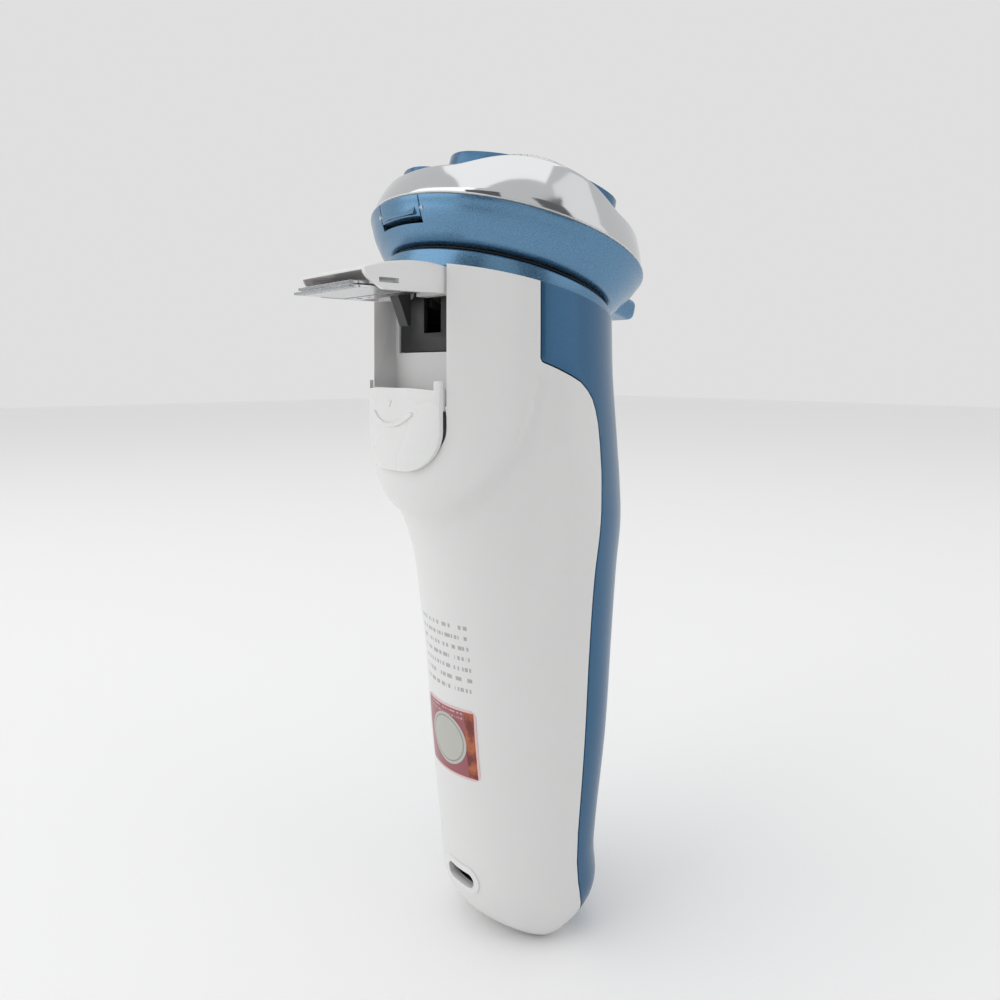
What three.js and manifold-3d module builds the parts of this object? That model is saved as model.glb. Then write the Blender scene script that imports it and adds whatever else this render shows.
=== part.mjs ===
// Three-head electric shaver with a pop-out trimmer, millimetres, +Z up.
// The origin is at the foot of the handle; the front, with the power button, faces -Y.
// The rear, with the trimmer, its release slider and the charging port, faces +Y.
import * as THREE from 'three';
import { mergeVertices } from 'three/addons/utils/BufferGeometryUtils.js';
import { ParametricGeometry } from 'three/addons/geometries/ParametricGeometry.js';
import Module from 'manifold-3d';

const wasm = await Module();
wasm.setup();

// Driving dimensions of the handle
const handleTop = 150;          // height of the untrimmed neck
const handleWall = 2;           // wall of both shells
const footDrop = 8.7;           // heights count from a datum this far above the foot
const baseRise = 13.6;          // height of the rounded foot
const baseInset = 8.3;          // how far the rounded foot draws in
const baseFlat = 0.298;         // where the rounded foot is cut flat, as an angle of its arc
const shellGap = 0.3;           // open line between the rear and the front shell
const fit = 0.3;                // named clearance between neighbouring pieces
const neckRadius = 28.2;
const neckCentre = 2.9;         // the neck's axis, in Y
const neckFoot = 105;           // below this height the neck turns into the grip
const gripHalfWidth = 23.8;     // at the middle of the grip
const gripRear = 18.6;
const gripFront = -24.5;
const neckCutHeight = 137.6;    // the neck's sloping top at Y = 0
const neckCutSlope = 0.24;      // rise of that top for each millimetre of Y

// Driving dimensions of the trimmer and its bay
const bayHalfWidth = 13.9;
const bayBack = 21.3;           // face of the bay's back wall
const bayWall = 1.6;
const bayFloor = 104;           // foot of the slider's channel
const panelFoot = 126.2;        // the dark panel starts here
const channelBack = 24.5;       // floor of the slider's channel
const sliderTop = 118.6;
const sliderHorn = 1.3;         // the tab's two raised corners
const sliderFoot = 100.7;
const sliderTravel = 3;
const sliderLip = 0.9;          // how thick the slider's rim is over the shell
const hingeY = 25.7;            // the trimmer's hinge
const hingeZ = 141.2;
const hingePinRadius = 0.9;
const trimmerReach = 20;        // hinge to the end of the trimmer's walls
const trimmerDepth = 3.2;       // how far the walls reach below the hinge
const bladeStroke = 0.8;

// Driving dimensions of the head, in the tilted frame of its own axis
const headTilt = THREE.MathUtils.degToRad(16.5);
const headOrigin = new THREE.Vector3(0, 1.3, 141.7);
const ringRadius = 27.4;        // foot of the bowl and top of the collar
const bowlRadius = 33.4;
const bowlHeight = 8.6;
const bowlWall = 1.8;
const bandRadius = 33.2;
const bandTopRadius = 31.4;
const bandWall = 1.5;
const bandGap = 0.6;            // open line between the bowl and the bright band
const bandHeight = 7.4;         // between the shaving heads
const bandFoot = bowlHeight + bandGap;
const bandTop = bandFoot + bandHeight;
const bandHump = 3.4;           // extra height of the bright band at each head
const headPitch = 15.8;         // from the head's axis to each shaving head's axis
const capRadius = 28.6;         // outer arc of a cap, about the head's axis
const capCorner = 8;
const capHeight = 5.2;
const capFoot = bandTop - 0.2;
const capTop = capFoot + capHeight;
const guardWeb = 5.4;           // least room between two guards
const guardRadius = (headPitch * Math.sqrt(3) - guardWeb) / 2;
const guardRise = 1.8;          // how far a guard stands above its cap
const guardTop = capTop + guardRise;
const guardWall = 0.8;
const floatTravel = 1.2;        // how far a shaving head sinks when pressed
const spindleRadius = 1.9;
const spindleTip = capFoot - 3.2;
const centralGearRadius = 7.5;
const driveGearRadius = headPitch - centralGearRadius - fit;
const motorRadius = 8.5;
const motorLength = 20;
const shaftRadius = 1.1;

const finishes = {
  white: { color: 0xeeeeee, roughness: 0.4, metalness: 0 },
  blue: { color: 0x2f5f85, roughness: 0.35, metalness: 0.6 },
  bowlBlue: { color: 0x4a7aa0, roughness: 0.3, metalness: 0.6 },
  chrome: { color: 0xc4c4c4, roughness: 0.12, metalness: 1 },
  steel: { color: 0xb0b0ae, roughness: 0.3, metalness: 1 },
  silver: { color: 0xb8babc, roughness: 0.35, metalness: 0.7 },
  black: { color: 0x2c2c2e, roughness: 0.5, metalness: 0 },
  plum: { color: 0x8a2a3c, roughness: 0.5, metalness: 0 },
  green: { color: 0x2f6b45, roughness: 0.6, metalness: 0 },
  gear: { color: 0xd8d2c0, roughness: 0.6, metalness: 0 },
  lens: { color: 0xd8e4ea, roughness: 0.2, metalness: 0 },
};

const shaver = new THREE.Group();
shaver.position.z = footDrop;
const head = new THREE.Group();
head.position.copy(headOrigin);
head.rotation.x = headTilt;
shaver.add(head);

// A closed geometry as a solid that can be joined and cut
function solid(geometry) {
  const bare = geometry.clone();
  for (const key of Object.keys(bare.attributes)) {
    if (key !== 'position') bare.deleteAttribute(key);
  }
  const merged = mergeVertices(bare, 1e-4);
  const index = merged.index.array;
  const kept = [];
  for (let i = 0; i < index.length; i += 3) {
    const [a, b, c] = [index[i], index[i + 1], index[i + 2]];
    if (a !== b && b !== c && c !== a) kept.push(a, b, c);
  }
  return new wasm.Manifold(new wasm.Mesh({
    numProp: 3,
    vertProperties: new Float32Array(merged.attributes.position.array),
    triVerts: new Uint32Array(kept),
  }));
}

function geometryOf(body) {
  const mesh = body.getMesh();
  const geometry = new THREE.BufferGeometry();
  geometry.setAttribute('position', new THREE.BufferAttribute(mesh.vertProperties, 3));
  geometry.setIndex(new THREE.BufferAttribute(mesh.triVerts, 1));
  geometry.computeVertexNormals();
  return geometry;
}

// One named piece of the shaver
function piece(name, body, finish, group = shaver) {
  const geometry = body.isBufferGeometry ? body : geometryOf(body);
  const mesh = new THREE.Mesh(geometry, new THREE.MeshStandardMaterial(finishes[finish]));
  mesh.name = name;
  group.add(mesh);
  return mesh;
}

const all = (bodies) => bodies.reduce((sum, body) => sum.add(body));

// A box between two corners
function block(x0, x1, y0, y1, z0, z1) {
  const box = new THREE.BoxGeometry(x1 - x0, y1 - y0, z1 - z0);
  return box.translate((x0 + x1) / 2, (y0 + y1) / 2, (z0 + z1) / 2);
}

// An upright round bar
function bar(radius, x, y, z0, z1, sides = 20) {
  const cylinder = new THREE.CylinderGeometry(radius, radius, z1 - z0, sides);
  return cylinder.rotateX(Math.PI / 2).translate(x, y, (z0 + z1) / 2);
}

// A round bar along X
function crossBar(radius, x0, x1, y, z, sides = 12) {
  const cylinder = new THREE.CylinderGeometry(radius, radius, x1 - x0, sides);
  return cylinder.rotateZ(Math.PI / 2).translate((x0 + x1) / 2, y, z);
}

// A round bar along Y
function depthBar(radius, x, y0, y1, z, sides = 20) {
  const cylinder = new THREE.CylinderGeometry(radius, radius, y1 - y0, sides);
  return cylinder.translate(x, (y0 + y1) / 2, z);
}

// A shape drawn in X and Z, pushed along Y from y0 to y1
function slabAlongY(shape, y0, y1, curveSegments = 4) {
  const slab = new THREE.ExtrudeGeometry(shape, { depth: y1 - y0, bevelEnabled: false, curveSegments });
  return slab.rotateX(Math.PI / 2).translate(0, y1, 0);
}

// A shape drawn in Y and Z, pushed along X from x0 to x1
function slabAlongX(shape, x0, x1, curveSegments = 4) {
  const slab = new THREE.ExtrudeGeometry(shape, { depth: x1 - x0, bevelEnabled: false, curveSegments });
  slab.rotateX(Math.PI / 2).rotateZ(Math.PI / 2);
  return slab.translate(x0, 0, 0);
}

// A shape drawn in X and Y, pushed up from z0 to z1
function slabUp(shape, z0, z1, curveSegments = 4) {
  const slab = new THREE.ExtrudeGeometry(shape, { depth: z1 - z0, bevelEnabled: false, curveSegments });
  return slab.translate(0, 0, z0);
}

function roundedRect(x0, x1, y0, y1, radius) {
  const shape = new THREE.Shape();
  shape.moveTo(x0 + radius, y0);
  shape.lineTo(x1 - radius, y0);
  shape.absarc(x1 - radius, y0 + radius, radius, -Math.PI / 2, 0, false);
  shape.lineTo(x1, y1 - radius);
  shape.absarc(x1 - radius, y1 - radius, radius, 0, Math.PI / 2, false);
  shape.lineTo(x0 + radius, y1);
  shape.absarc(x0 + radius, y1 - radius, radius, Math.PI / 2, Math.PI, false);
  shape.lineTo(x0, y0 + radius);
  shape.absarc(x0 + radius, y0 + radius, radius, Math.PI, 1.5 * Math.PI, false);
  return shape;
}

// A ring or disc turned about the vertical axis from a closed profile of radius and height
function turned(points, segments = 36) {
  const profile = points.map(([radius, height]) => new THREE.Vector2(radius, height));
  if (points[0][0] > 0) profile.push(profile[0].clone());
  return new THREE.LatheGeometry(profile, segments).rotateX(Math.PI / 2);
}

// ---- The handle's outer form ----
// Stations from the foot up: half width, rearmost and foremost Y, and how much narrower the rear is.
const stations = [
  { z: -footDrop, half: gripHalfWidth - 5.4, rear: gripRear - 10.6, front: gripFront + 11.9, egg: 0.06 },
  { z: 0, half: gripHalfWidth - 3.8, rear: gripRear - 6.5, front: gripFront + 4, egg: 0.1 },
  { z: 12, half: gripHalfWidth - 3, rear: gripRear - 5.2, front: gripFront + 4.8, egg: 0.12 },
  { z: 38, half: gripHalfWidth - 1.1, rear: gripRear - 2, front: gripFront + 1.8, egg: 0.16 },
  { z: 60, half: gripHalfWidth, rear: gripRear, front: gripFront, egg: 0.16 },
  { z: 76, half: gripHalfWidth + 1.4, rear: gripRear + 3.4, front: gripFront - 1.5, egg: 0.14 },
  { z: 87, half: neckRadius - 1.2, rear: neckCentre + neckRadius - 5.8, front: -27.4, egg: 0.09 },
  { z: 97, half: neckRadius - 0.2, rear: neckCentre + neckRadius - 0.9, front: -28, egg: 0.03 },
  { z: neckFoot, half: neckRadius, rear: neckCentre + neckRadius, front: -27.6, egg: 0 },
  { z: 126, half: neckRadius, rear: neckCentre + neckRadius, front: neckCentre - neckRadius, egg: 0 },
  { z: handleTop, half: neckRadius, rear: neckCentre + neckRadius, front: neckCentre - neckRadius, egg: 0 },
];

// A smooth value between the stations, with slopes from each station's neighbours
function along(key, z) {
  const last = stations.length - 1;
  let i = 0;
  while (i < last - 1 && z > stations[i + 1].z) i += 1;
  const slope = (k) => {
    const before = stations[Math.max(k - 1, 0)];
    const after = stations[Math.min(k + 1, last)];
    return (after[key] - before[key]) / (after.z - before.z);
  };
  const [low, high] = [stations[i], stations[i + 1]];
  const span = high.z - low.z;
  const t = THREE.MathUtils.clamp((z - low.z) / span, 0, 1);
  const a = (2 * t ** 3 - 3 * t ** 2 + 1) * low[key] + (t ** 3 - 2 * t ** 2 + t) * span * slope(i);
  return a + (3 * t ** 2 - 2 * t ** 3) * high[key] + (t ** 3 - t ** 2) * span * slope(i + 1);
}

// Heights where the form is sampled, with the draw-in of the rounded foot
const footSteps = 5;
const levels = [];
for (let i = 0; i <= footSteps; i += 1) {
  const angle = THREE.MathUtils.lerp(baseFlat, Math.PI / 2, i / footSteps);
  const z = baseRise * (Math.cos(baseFlat) - Math.cos(angle)) - footDrop;
  levels.push({ z, inset: baseInset * (1 - Math.sin(angle)) });
}
for (const z of [12, 24, 38, 52, 65, 76, 84, 91, 98, 105, 126, handleTop]) {
  levels.push({ z, inset: 0 });
}

// The handle's form, grown by a distance that is negative for the inner wall
function handleForm(growth, sides = 28) {
  const rows = levels.length + 1;
  const surface = (u, v, target) => {
    const row = Math.round(v * rows);
    const level = levels[THREE.MathUtils.clamp(row - 1, 0, levels.length - 1)];
    const pole = row === 0 || row === rows;
    const rise = growth * (1 - Math.min((level.z + footDrop) / baseRise, 1));
    const size = pole ? 0 : 1;
    const inset = level.inset - growth;
    const rear = along('rear', level.z) - inset;
    const front = along('front', level.z) + inset;
    const half = along('half', level.z) - inset;
    const angle = u * Math.PI * 2;
    const x = half * Math.cos(angle) * (1 - along('egg', level.z) * Math.sin(angle));
    const y = (rear + front) / 2 + size * Math.sin(angle) * (rear - front) / 2;
    target.set(size * x, y, level.z - rise);
  };
  return solid(new ParametricGeometry(surface, sides, rows));
}

const outside = handleForm(0);
const inside = handleForm(-handleWall);
const midWall = handleForm(-handleWall / 2);  // what is added inside a shell runs into its wall up to here

// Everything above the neck's sloping top
function aboveNeck(offset = 0) {
  const size = 200;
  const box = new THREE.BoxGeometry(size, size, size).translate(0, 0, size / 2);
  return solid(box.rotateX(Math.atan(neckCutSlope)).translate(0, 0, neckCutHeight + offset));
}
const neckCut = aboveNeck();

// ---- The line between the white rear shell and the blue front shell, seen from the side ----
const seam = [[12.5, 160], [12.5, 124], [8, 122.3], [3.5, 120.4], [0, 117.8], [-2.6, 114.2], [-4.1, 109],
  [-5, 101], [-5.2, 90], [-5, 60], [-4.4, 30], [-4.1, 16], [-5, 6], [-7, -1], [-10, -7], [-14, -14]];
function seamRegion(side) {
  const points = seam.map(([y, z], i) => {
    const [y0, z0] = seam[Math.max(i - 1, 0)];
    const [y1, z1] = seam[Math.min(i + 1, seam.length - 1)];
    const crossLine = new THREE.Vector2(y1 - y0, z1 - z0).normalize();
    const shift = side * shellGap / 2;
    return new THREE.Vector2(y - crossLine.y * shift, z + crossLine.x * shift);
  });
  points.push(new THREE.Vector2(side * 60, -10), new THREE.Vector2(side * 60, 160));
  return solid(slabAlongX(new THREE.Shape(points), -60, 60));
}
const rearRegion = seamRegion(1);
const frontRegion = seamRegion(-1);
const skin = outside.subtract(inside).subtract(neckCut);

// ---- Rear shell, with the trimmer's bay, the slider's channel and the port's opening ----
const portHeight = 5.4;
const portHalf = 4.5;
const portRise = 1.6;
const bayLiner = solid(block(-bayHalfWidth - bayWall, bayHalfWidth + bayWall, bayBack - bayWall, 40,
  bayFloor - bayWall, handleTop)).intersect(midWall).subtract(neckCut);
const bayCut = all([
  solid(block(-bayHalfWidth, bayHalfWidth, bayBack, 50, sliderTop - sliderTravel - 1, handleTop)),
  solid(slabAlongY(roundedRect(-bayHalfWidth, bayHalfWidth, bayFloor, sliderTop, 6), channelBack, 50)),
]);
const panelCut = solid(block(-bayHalfWidth + 1.2, bayHalfWidth - 1.2, bayBack - bayWall - 1, bayBack + 1,
  panelFoot, neckCutHeight + neckCutSlope * bayBack - 1));
const portShape = (grow) => roundedRect(-portHalf - grow, portHalf + grow, portHeight - portRise - grow,
  portHeight + portRise + grow, portRise + grow - 0.01);
const portCut = solid(slabAlongY(portShape(fit), 2, 30));
const screwSpots = [[0, 26], [0, 92]];
const bossRadius = 3.2;
const screwRadius = 1.5;
const bosses = all(screwSpots.map(([x, z]) => solid(depthBar(bossRadius, x, -3, 30, z, 12))))
  .intersect(midWall);
const screwHoles = all(screwSpots.map(([x, z]) => solid(depthBar(screwRadius + fit, x, -4, 6, z, 10))));
const hingeReach = bayHalfWidth + bayWall - 0.6;
const hingeHoles = solid(crossBar(hingePinRadius + fit / 2, -hingeReach, hingeReach, hingeY, hingeZ));
const labelHalf = 8.6;
const labelFoot = 30.2;
const labelTop = 46.4;
const labelThickness = 0.3;
const labelShape = roundedRect(-labelHalf, labelHalf, labelFoot, labelTop, 1.6);
const rearShell = skin.intersect(rearRegion).add(bayLiner).add(bosses.intersect(rearRegion))
  .subtract(bayCut).subtract(panelCut).subtract(portCut).subtract(screwHoles)
  .subtract(hingeHoles);
piece('rear_shell', rearShell, 'white');

// ---- Front shell, with the bright inlay's bed and the button's opening ----
const buttonHeight = 103;
const buttonRadius = 6.6;
const inlayDepth = 1.1;
const inlayProud = 0.3;
const inlayTop = 137;
const lensHeight = 86;
const lensHalf = 1.2;
function inlayShape(grow) {
  const shape = new THREE.Shape();
  shape.moveTo(-23.6 - grow, inlayTop + grow);
  shape.lineTo(23.6 + grow, inlayTop + grow);
  shape.quadraticCurveTo(18.6 + grow, 118, 12.6 + grow, 101);
  shape.quadraticCurveTo(8.4 + grow, 88, 4 + grow, 79 - grow);
  shape.quadraticCurveTo(0, 73 - grow, -4 - grow, 79 - grow);
  shape.quadraticCurveTo(-8.4 - grow, 88, -12.6 - grow, 101);
  shape.quadraticCurveTo(-18.6 - grow, 118, -23.6 - grow, inlayTop + grow);
  return shape;
}
const inlayUnder = handleForm(-inlayDepth);
const inlayBed = solid(slabAlongY(inlayShape(0.2), -50, -8)).subtract(handleForm(-inlayDepth - fit));
const buttonHole = solid(depthBar(buttonRadius + fit, 0, -50, -8, buttonHeight));
const buttonRecess = solid(depthBar(buttonRadius + 2.4, 0, -23.6, -8, buttonHeight));
const buttonHousing = solid(depthBar(buttonRadius + 3.8, 0, -40, -20, buttonHeight)).intersect(midWall);
const lensCut = (grow) => solid(slabAlongY(roundedRect(-lensHalf - grow, lensHalf + grow,
  lensHeight - 4 - grow, lensHeight + 4 + grow, lensHalf + grow - 0.01), -50, -10));
const frontShell = skin.intersect(frontRegion).add(buttonHousing)
  .add(solid(depthBar(bossRadius, 0, -40, -5.6, screwSpots[0][1], 20)).intersect(inside))
  .subtract(inlayBed).subtract(buttonHole).subtract(buttonRecess).subtract(lensCut(fit));
piece('front_shell', frontShell, 'blue');

piece('front_inlay', solid(slabAlongY(inlayShape(0), -50, -8))
  .intersect(handleForm(inlayProud)).subtract(inlayUnder).subtract(neckCut)
  .subtract(buttonHole).subtract(lensCut(fit)), 'silver');

const buttonTravel = 0.8;
piece('power_button', all([
  solid(depthBar(buttonRadius, 0, -28.3, -22.4, buttonHeight)),
  solid(depthBar(buttonRadius + 1.6, 0, -23.2, -21.4, buttonHeight)),
  solid(depthBar(2, 0, -22, -18.8, buttonHeight, 16)),
]), 'silver');
piece('indicator_lens', lensCut(0).intersect(handleForm(-0.1)).subtract(handleForm(-3.2)), 'lens');

// ---- Rating label and its disc, on the rear of the grip ----
const labelSkin = handleForm(fit + labelThickness).subtract(handleForm(fit));
const discRadius = 5.9;
const discCut = solid(depthBar(discRadius + 0.15, 0, 4, 40, (labelFoot + labelTop) / 2));
piece('rating_label', solid(slabAlongY(labelShape, 8, 40)).intersect(labelSkin).subtract(discCut), 'plum');
piece('label_disc', solid(depthBar(discRadius, 0, 8, 40, (labelFoot + labelTop) / 2))
  .intersect(labelSkin), 'silver');

// ---- Inside the handle ----
const batteryRadius = 6.9;
const batteryFoot = 36;
const batteryLength = 50;
const chassisHalf = 13;
const chassisFront = -5.2;
const chassisPlate = solid(block(-chassisHalf, chassisHalf, chassisFront, chassisFront + 1.6, 15, 96));
const cradle = all([batteryFoot - 3, batteryFoot + batteryLength + fit].map((z) =>
  solid(block(-batteryRadius, batteryRadius, chassisFront - 11, chassisFront + 1, z, z + 2.6))));
const chassisSlots = all([40, 54, 68].map((z) =>
  solid(slabAlongY(roundedRect(-9, 9, z, z + 9, 2), chassisFront - 1, chassisFront + 3))));
piece('chassis', chassisPlate.add(cradle).subtract(chassisSlots)
  .subtract(all(screwSpots.map(([x, z]) => solid(depthBar(bossRadius + fit + 0.6, x, -20, 6, z, 12)))))
  , 'black');
piece('battery', bar(batteryRadius, 0, chassisFront - fit - batteryRadius - 0.2, batteryFoot,
  batteryFoot + batteryLength), 'green');
const boardBack = chassisFront + 1.6 + fit;
piece('circuit_board', solid(block(-10.5, 10.5, boardBack, boardBack + 1.2, 31, 86))
  .add(solid(block(-4, 4, boardBack + 1, boardBack + 3.2, 38, 46)))
  .add(solid(block(-7, -2, boardBack + 1, boardBack + 2.6, 58, 64))), 'green');
const socketBack = 1.5;
piece('charging_socket', solid(slabAlongY(portShape(-0.1), socketBack, 9.6))
  .subtract(solid(slabAlongY(portShape(-0.5), socketBack + 1, 20)))
  .add(solid(block(-3.2, 3.2, socketBack + 0.5, 8.4, portHeight - 0.35, portHeight + 0.35))), 'steel');
screwSpots.forEach(([x, z], i) => {
  piece(`shell_screw_${i + 1}`, all([
    solid(depthBar(screwRadius, x, i ? -4.6 : -4.9, 5.5, z, 10)),
    solid(depthBar(screwRadius + 1, x, i ? -6 : -5.3, -4.4, z, 10)),
  ]), 'steel');
});

// ---- Trimmer bay: dark back panel with the lever's window ----
const windowHalf = 3.2;
const windowFoot = 130.6;
const windowTop = 141.3;
piece('bay_panel', solid(block(-bayHalfWidth + 1.2 + fit, bayHalfWidth - 1.2 - fit, bayBack - bayWall,
  bayBack - 0.3, panelFoot + fit, neckCutHeight + neckCutSlope * bayBack - 1 - fit))
  .subtract(solid(block(-windowHalf, windowHalf, bayBack - 9, bayBack + 3, windowFoot, windowTop))), 'black');

// ---- Trimmer, swung out: it points along +Y and hangs on a pin across the bay ----
const trimmerHalf = bayHalfWidth - 0.6;
const wallEnd = hingeY + trimmerReach;
const barrel = 2.2;             // how far the housing reaches behind its pin
const crown = new THREE.Shape();
crown.moveTo(hingeY - 1.5, hingeZ - trimmerDepth);
crown.lineTo(wallEnd - 3.5, hingeZ - trimmerDepth);
crown.lineTo(wallEnd, hingeZ - 1);
crown.lineTo(wallEnd + 0.9, hingeZ + 1);
crown.quadraticCurveTo(hingeY + 12, hingeZ + 3.6, hingeY + 4.4, hingeZ + 3);
crown.lineTo(hingeY, hingeZ + 2.2);
crown.quadraticCurveTo(hingeY - barrel, hingeZ + 1.6, hingeY - barrel, hingeZ - 0.6);
crown.quadraticCurveTo(hingeY - barrel, hingeZ - 2.4, hingeY - 1.5, hingeZ - trimmerDepth);
const hollow = new THREE.Shape();
hollow.moveTo(hingeY + 1.8, hingeZ - trimmerDepth - 2);
hollow.lineTo(wallEnd + 4, hingeZ - trimmerDepth - 2);
hollow.lineTo(wallEnd + 4, hingeZ + 0.3);
hollow.lineTo(hingeY + 1.8, hingeZ + 0.9);
const trimmerSlot = solid(block(-trimmerHalf - 2, trimmerHalf + 2, wallEnd - 7, wallEnd - 2.4,
  hingeZ - 1.9, hingeZ - 0.9));
const pinBore = solid(crossBar(hingePinRadius + fit / 2, -20, 20, hingeY, hingeZ));
const leverBay = solid(block(-windowHalf, windowHalf, hingeY - 6, hingeY + 3, hingeZ - 6, hingeZ + 0.9));
piece('trimmer_housing', solid(slabAlongX(crown, -trimmerHalf, trimmerHalf))
  .subtract(solid(slabAlongX(hollow, -trimmerHalf + 1.3, trimmerHalf - 1.3)))
  .subtract(trimmerSlot).subtract(pinBore).subtract(leverBay), 'white');
piece('trimmer_pin', crossBar(hingePinRadius, -hingeReach + fit, hingeReach - fit, hingeY, hingeZ), 'steel');

// A cutting edge: a plate whose front is a row of teeth
function toothedPlate(half, y0, y1, z0, z1, teeth, toothLength) {
  const pitch = (2 * half) / teeth;
  const outline = new THREE.Shape();
  outline.moveTo(-half, y0);
  outline.lineTo(half, y0);
  for (let i = 0; i < teeth; i += 1) {
    const x = half - i * pitch;
    outline.lineTo(x, y1);
    outline.lineTo(x - pitch * 0.55, y1);
    outline.lineTo(x - pitch * 0.6, y1 - toothLength);
    outline.lineTo(x - pitch, y1 - toothLength);
  }
  return solid(slabUp(outline, z0, z1));
}
const plateFoot = hingeZ - trimmerDepth + 0.1;
const teeth = 13;
const bladeHalf = trimmerHalf - 1.3 - fit - bladeStroke;
const combTip = wallEnd + 3.2;
piece('trimmer_comb', toothedPlate(trimmerHalf - 1.3 - fit, wallEnd - 9, combTip, plateFoot,
  plateFoot + 0.6, teeth, 2.2), 'steel');
piece('trimmer_blade', toothedPlate(bladeHalf, wallEnd - 7, wallEnd + 2.6, plateFoot + 0.9,
  plateFoot + 1.5, teeth, 2).add(solid(block(-2.4, 2.4, hingeY + 7, wallEnd - 6.6, plateFoot + 0.9,
  plateFoot + 1.5))), 'steel');
const baseHalf = trimmerHalf - 1.3 - fit;
const baseHoles = all([-8, -4, 4, 8].map((x) => solid(bar(0.7, x, hingeY + 9.2, plateFoot - 2, plateFoot + 2, 12))));
piece('trimmer_base', solid(block(-baseHalf, baseHalf, hingeY + 6.8, wallEnd - 9.3, plateFoot - 0.1,
  plateFoot + 0.6)).subtract(baseHoles), 'steel');
const leverHalf = 1.6;
const lever = new THREE.Shape();
lever.moveTo(hingeY + 2.2, hingeZ - 1);
lever.lineTo(hingeY + 6.4, hingeZ - 1);
lever.lineTo(hingeY + 4.6, hingeZ - 5);
lever.lineTo(hingeY + 2.9, hingeZ - 9.4);
lever.lineTo(hingeY + 2.1, hingeZ - 9.4);
piece('drive_lever', slabAlongX(lever, -leverHalf, leverHalf), 'black');

// ---- Trimmer release slider, a U-shaped tab that sits on the rear crown ----
const sliderHalf = bayHalfWidth - 0.4;
const tabShape = new THREE.Shape();
tabShape.moveTo(-sliderHalf, sliderTop + sliderHorn);
tabShape.lineTo(-sliderHalf, sliderFoot + 9);
tabShape.absarc(-sliderHalf + 9, sliderFoot + 9, 9, Math.PI, 1.5 * Math.PI, false);
tabShape.lineTo(sliderHalf - 9, sliderFoot);
tabShape.absarc(sliderHalf - 9, sliderFoot + 9, 9, -Math.PI / 2, 0, false);
tabShape.lineTo(sliderHalf, sliderTop + sliderHorn);
tabShape.lineTo(sliderHalf - 1.4, sliderTop + sliderHorn);
tabShape.lineTo(sliderHalf - 3.8, sliderTop);
tabShape.lineTo(-sliderHalf + 3.8, sliderTop);
tabShape.lineTo(-sliderHalf + 1.4, sliderTop + sliderHorn);
const tabBlank = solid(slabAlongY(tabShape, 15, 40)).intersect(handleForm(fit + sliderLip));
const tabInsertFoot = bayFloor + sliderTravel + fit + 6;
const tabInsert = tabBlank.intersect(
  solid(block(-sliderHalf, sliderHalf, channelBack + fit, 40, tabInsertFoot, sliderTop + 3)));
const springRadius = 2;
const springPocket = solid(bar(springRadius + 0.5, 0, channelBack + fit + 2.4, 90, sliderTop - 3.5, 20));
// The comb's tip swings past the tab's upper edge, which is scooped to clear it
const combSwing = Math.hypot(combTip - hingeY, trimmerDepth) + fit;
const tabScoop = solid(crossBar(combSwing, -trimmerHalf + 1, trimmerHalf - 1, hingeY, hingeZ, 64));
piece('trimmer_slider', tabBlank.subtract(handleForm(fit)).add(tabInsert).subtract(springPocket)
  .subtract(tabScoop), 'white');

// The spring under the slider, wound about an upright axis
const springFoot = bayFloor + 0.8;
const springTop = sliderTop - 3.8;
const wireRadius = 0.3;
const turns = 5;
class Coil extends THREE.Curve {
  getPoint(t, target = new THREE.Vector3()) {
    const angle = t * turns * Math.PI * 2;
    const reach = springRadius - wireRadius - 0.2;
    const rise = springFoot + wireRadius + t * (springTop - springFoot - 2 * wireRadius);
    return target.set(reach * Math.cos(angle), channelBack + fit + 2.4 + reach * Math.sin(angle), rise);
  }
}
const wire = new THREE.Shape().absarc(0, 0, wireRadius, 0, Math.PI * 2, false);
piece('slider_spring', new THREE.ExtrudeGeometry(wire, {
  steps: turns * 7, curveSegments: 2, bevelEnabled: false, extrudePath: new Coil(),
}), 'steel');

// ---- Head: collar, seal and hair bowl ----
const collarBore = 24.8;
const collar = solid(turned([[collarBore, -14], [ringRadius, -14], [ringRadius, -0.9], [collarBore, -0.9]]));
const neckTopInHead = solid(geometryOf(aboveNeck(fit)).translate(0, -headOrigin.y, -headOrigin.z)
  .rotateX(-headTilt));
piece('neck_collar', collar.intersect(neckTopInHead), 'bowlBlue', head);
piece('neck_seal', turned([[collarBore, -0.6], [ringRadius - 0.9, -0.6], [ringRadius - 0.9, 0],
  [collarBore, 0]]), 'black', head);

const headSpots = [150, 30, 270].map((degrees) => {
  const angle = THREE.MathUtils.degToRad(degrees);
  return { angle, x: headPitch * Math.cos(angle), y: headPitch * Math.sin(angle) };
});
const spindleHoles = all(headSpots.map(({ x, y }) => solid(bar(spindleRadius + 0.8, x, y, -5, 8, 20))));
const bowlFoot = fit;
const chinHalf = 13.6;
const chinReach = bowlRadius + 2;
const chinBox = (grow, y0, y1) => slabUp(roundedRect(-chinHalf + 3 - grow, chinHalf - 3 + grow, y0, y1, 1),
  bowlHeight - 4.2 - grow, bowlHeight - 0.7 + grow);
const bowlOuter = solid(turned([[0, bowlFoot], [ringRadius, bowlFoot], [ringRadius + 2.5, 2.6],
  [bowlRadius - 0.9, 6.9], [bowlRadius, bowlHeight], [0, bowlHeight]]))
  .add(solid(slabUp(roundedRect(-chinHalf, chinHalf, -chinReach, -24, 2.4), 3.2, bowlHeight)));
const bowlInner = solid(turned([[0, 2.3], [ringRadius - 1, 2.3], [bowlRadius - bowlWall - 1.2, 6.6],
  [bowlRadius - bowlWall, bowlHeight + 2], [0, bowlHeight + 2]]));
const hingeV = 30.6;
const hingeN = bowlHeight - 2.2;
const hingeHalf = 6;
const unitHingeNotch = solid(block(-hingeHalf - 1.4, hingeHalf + 1.4, 27, 40, 3.2, 12));
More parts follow.
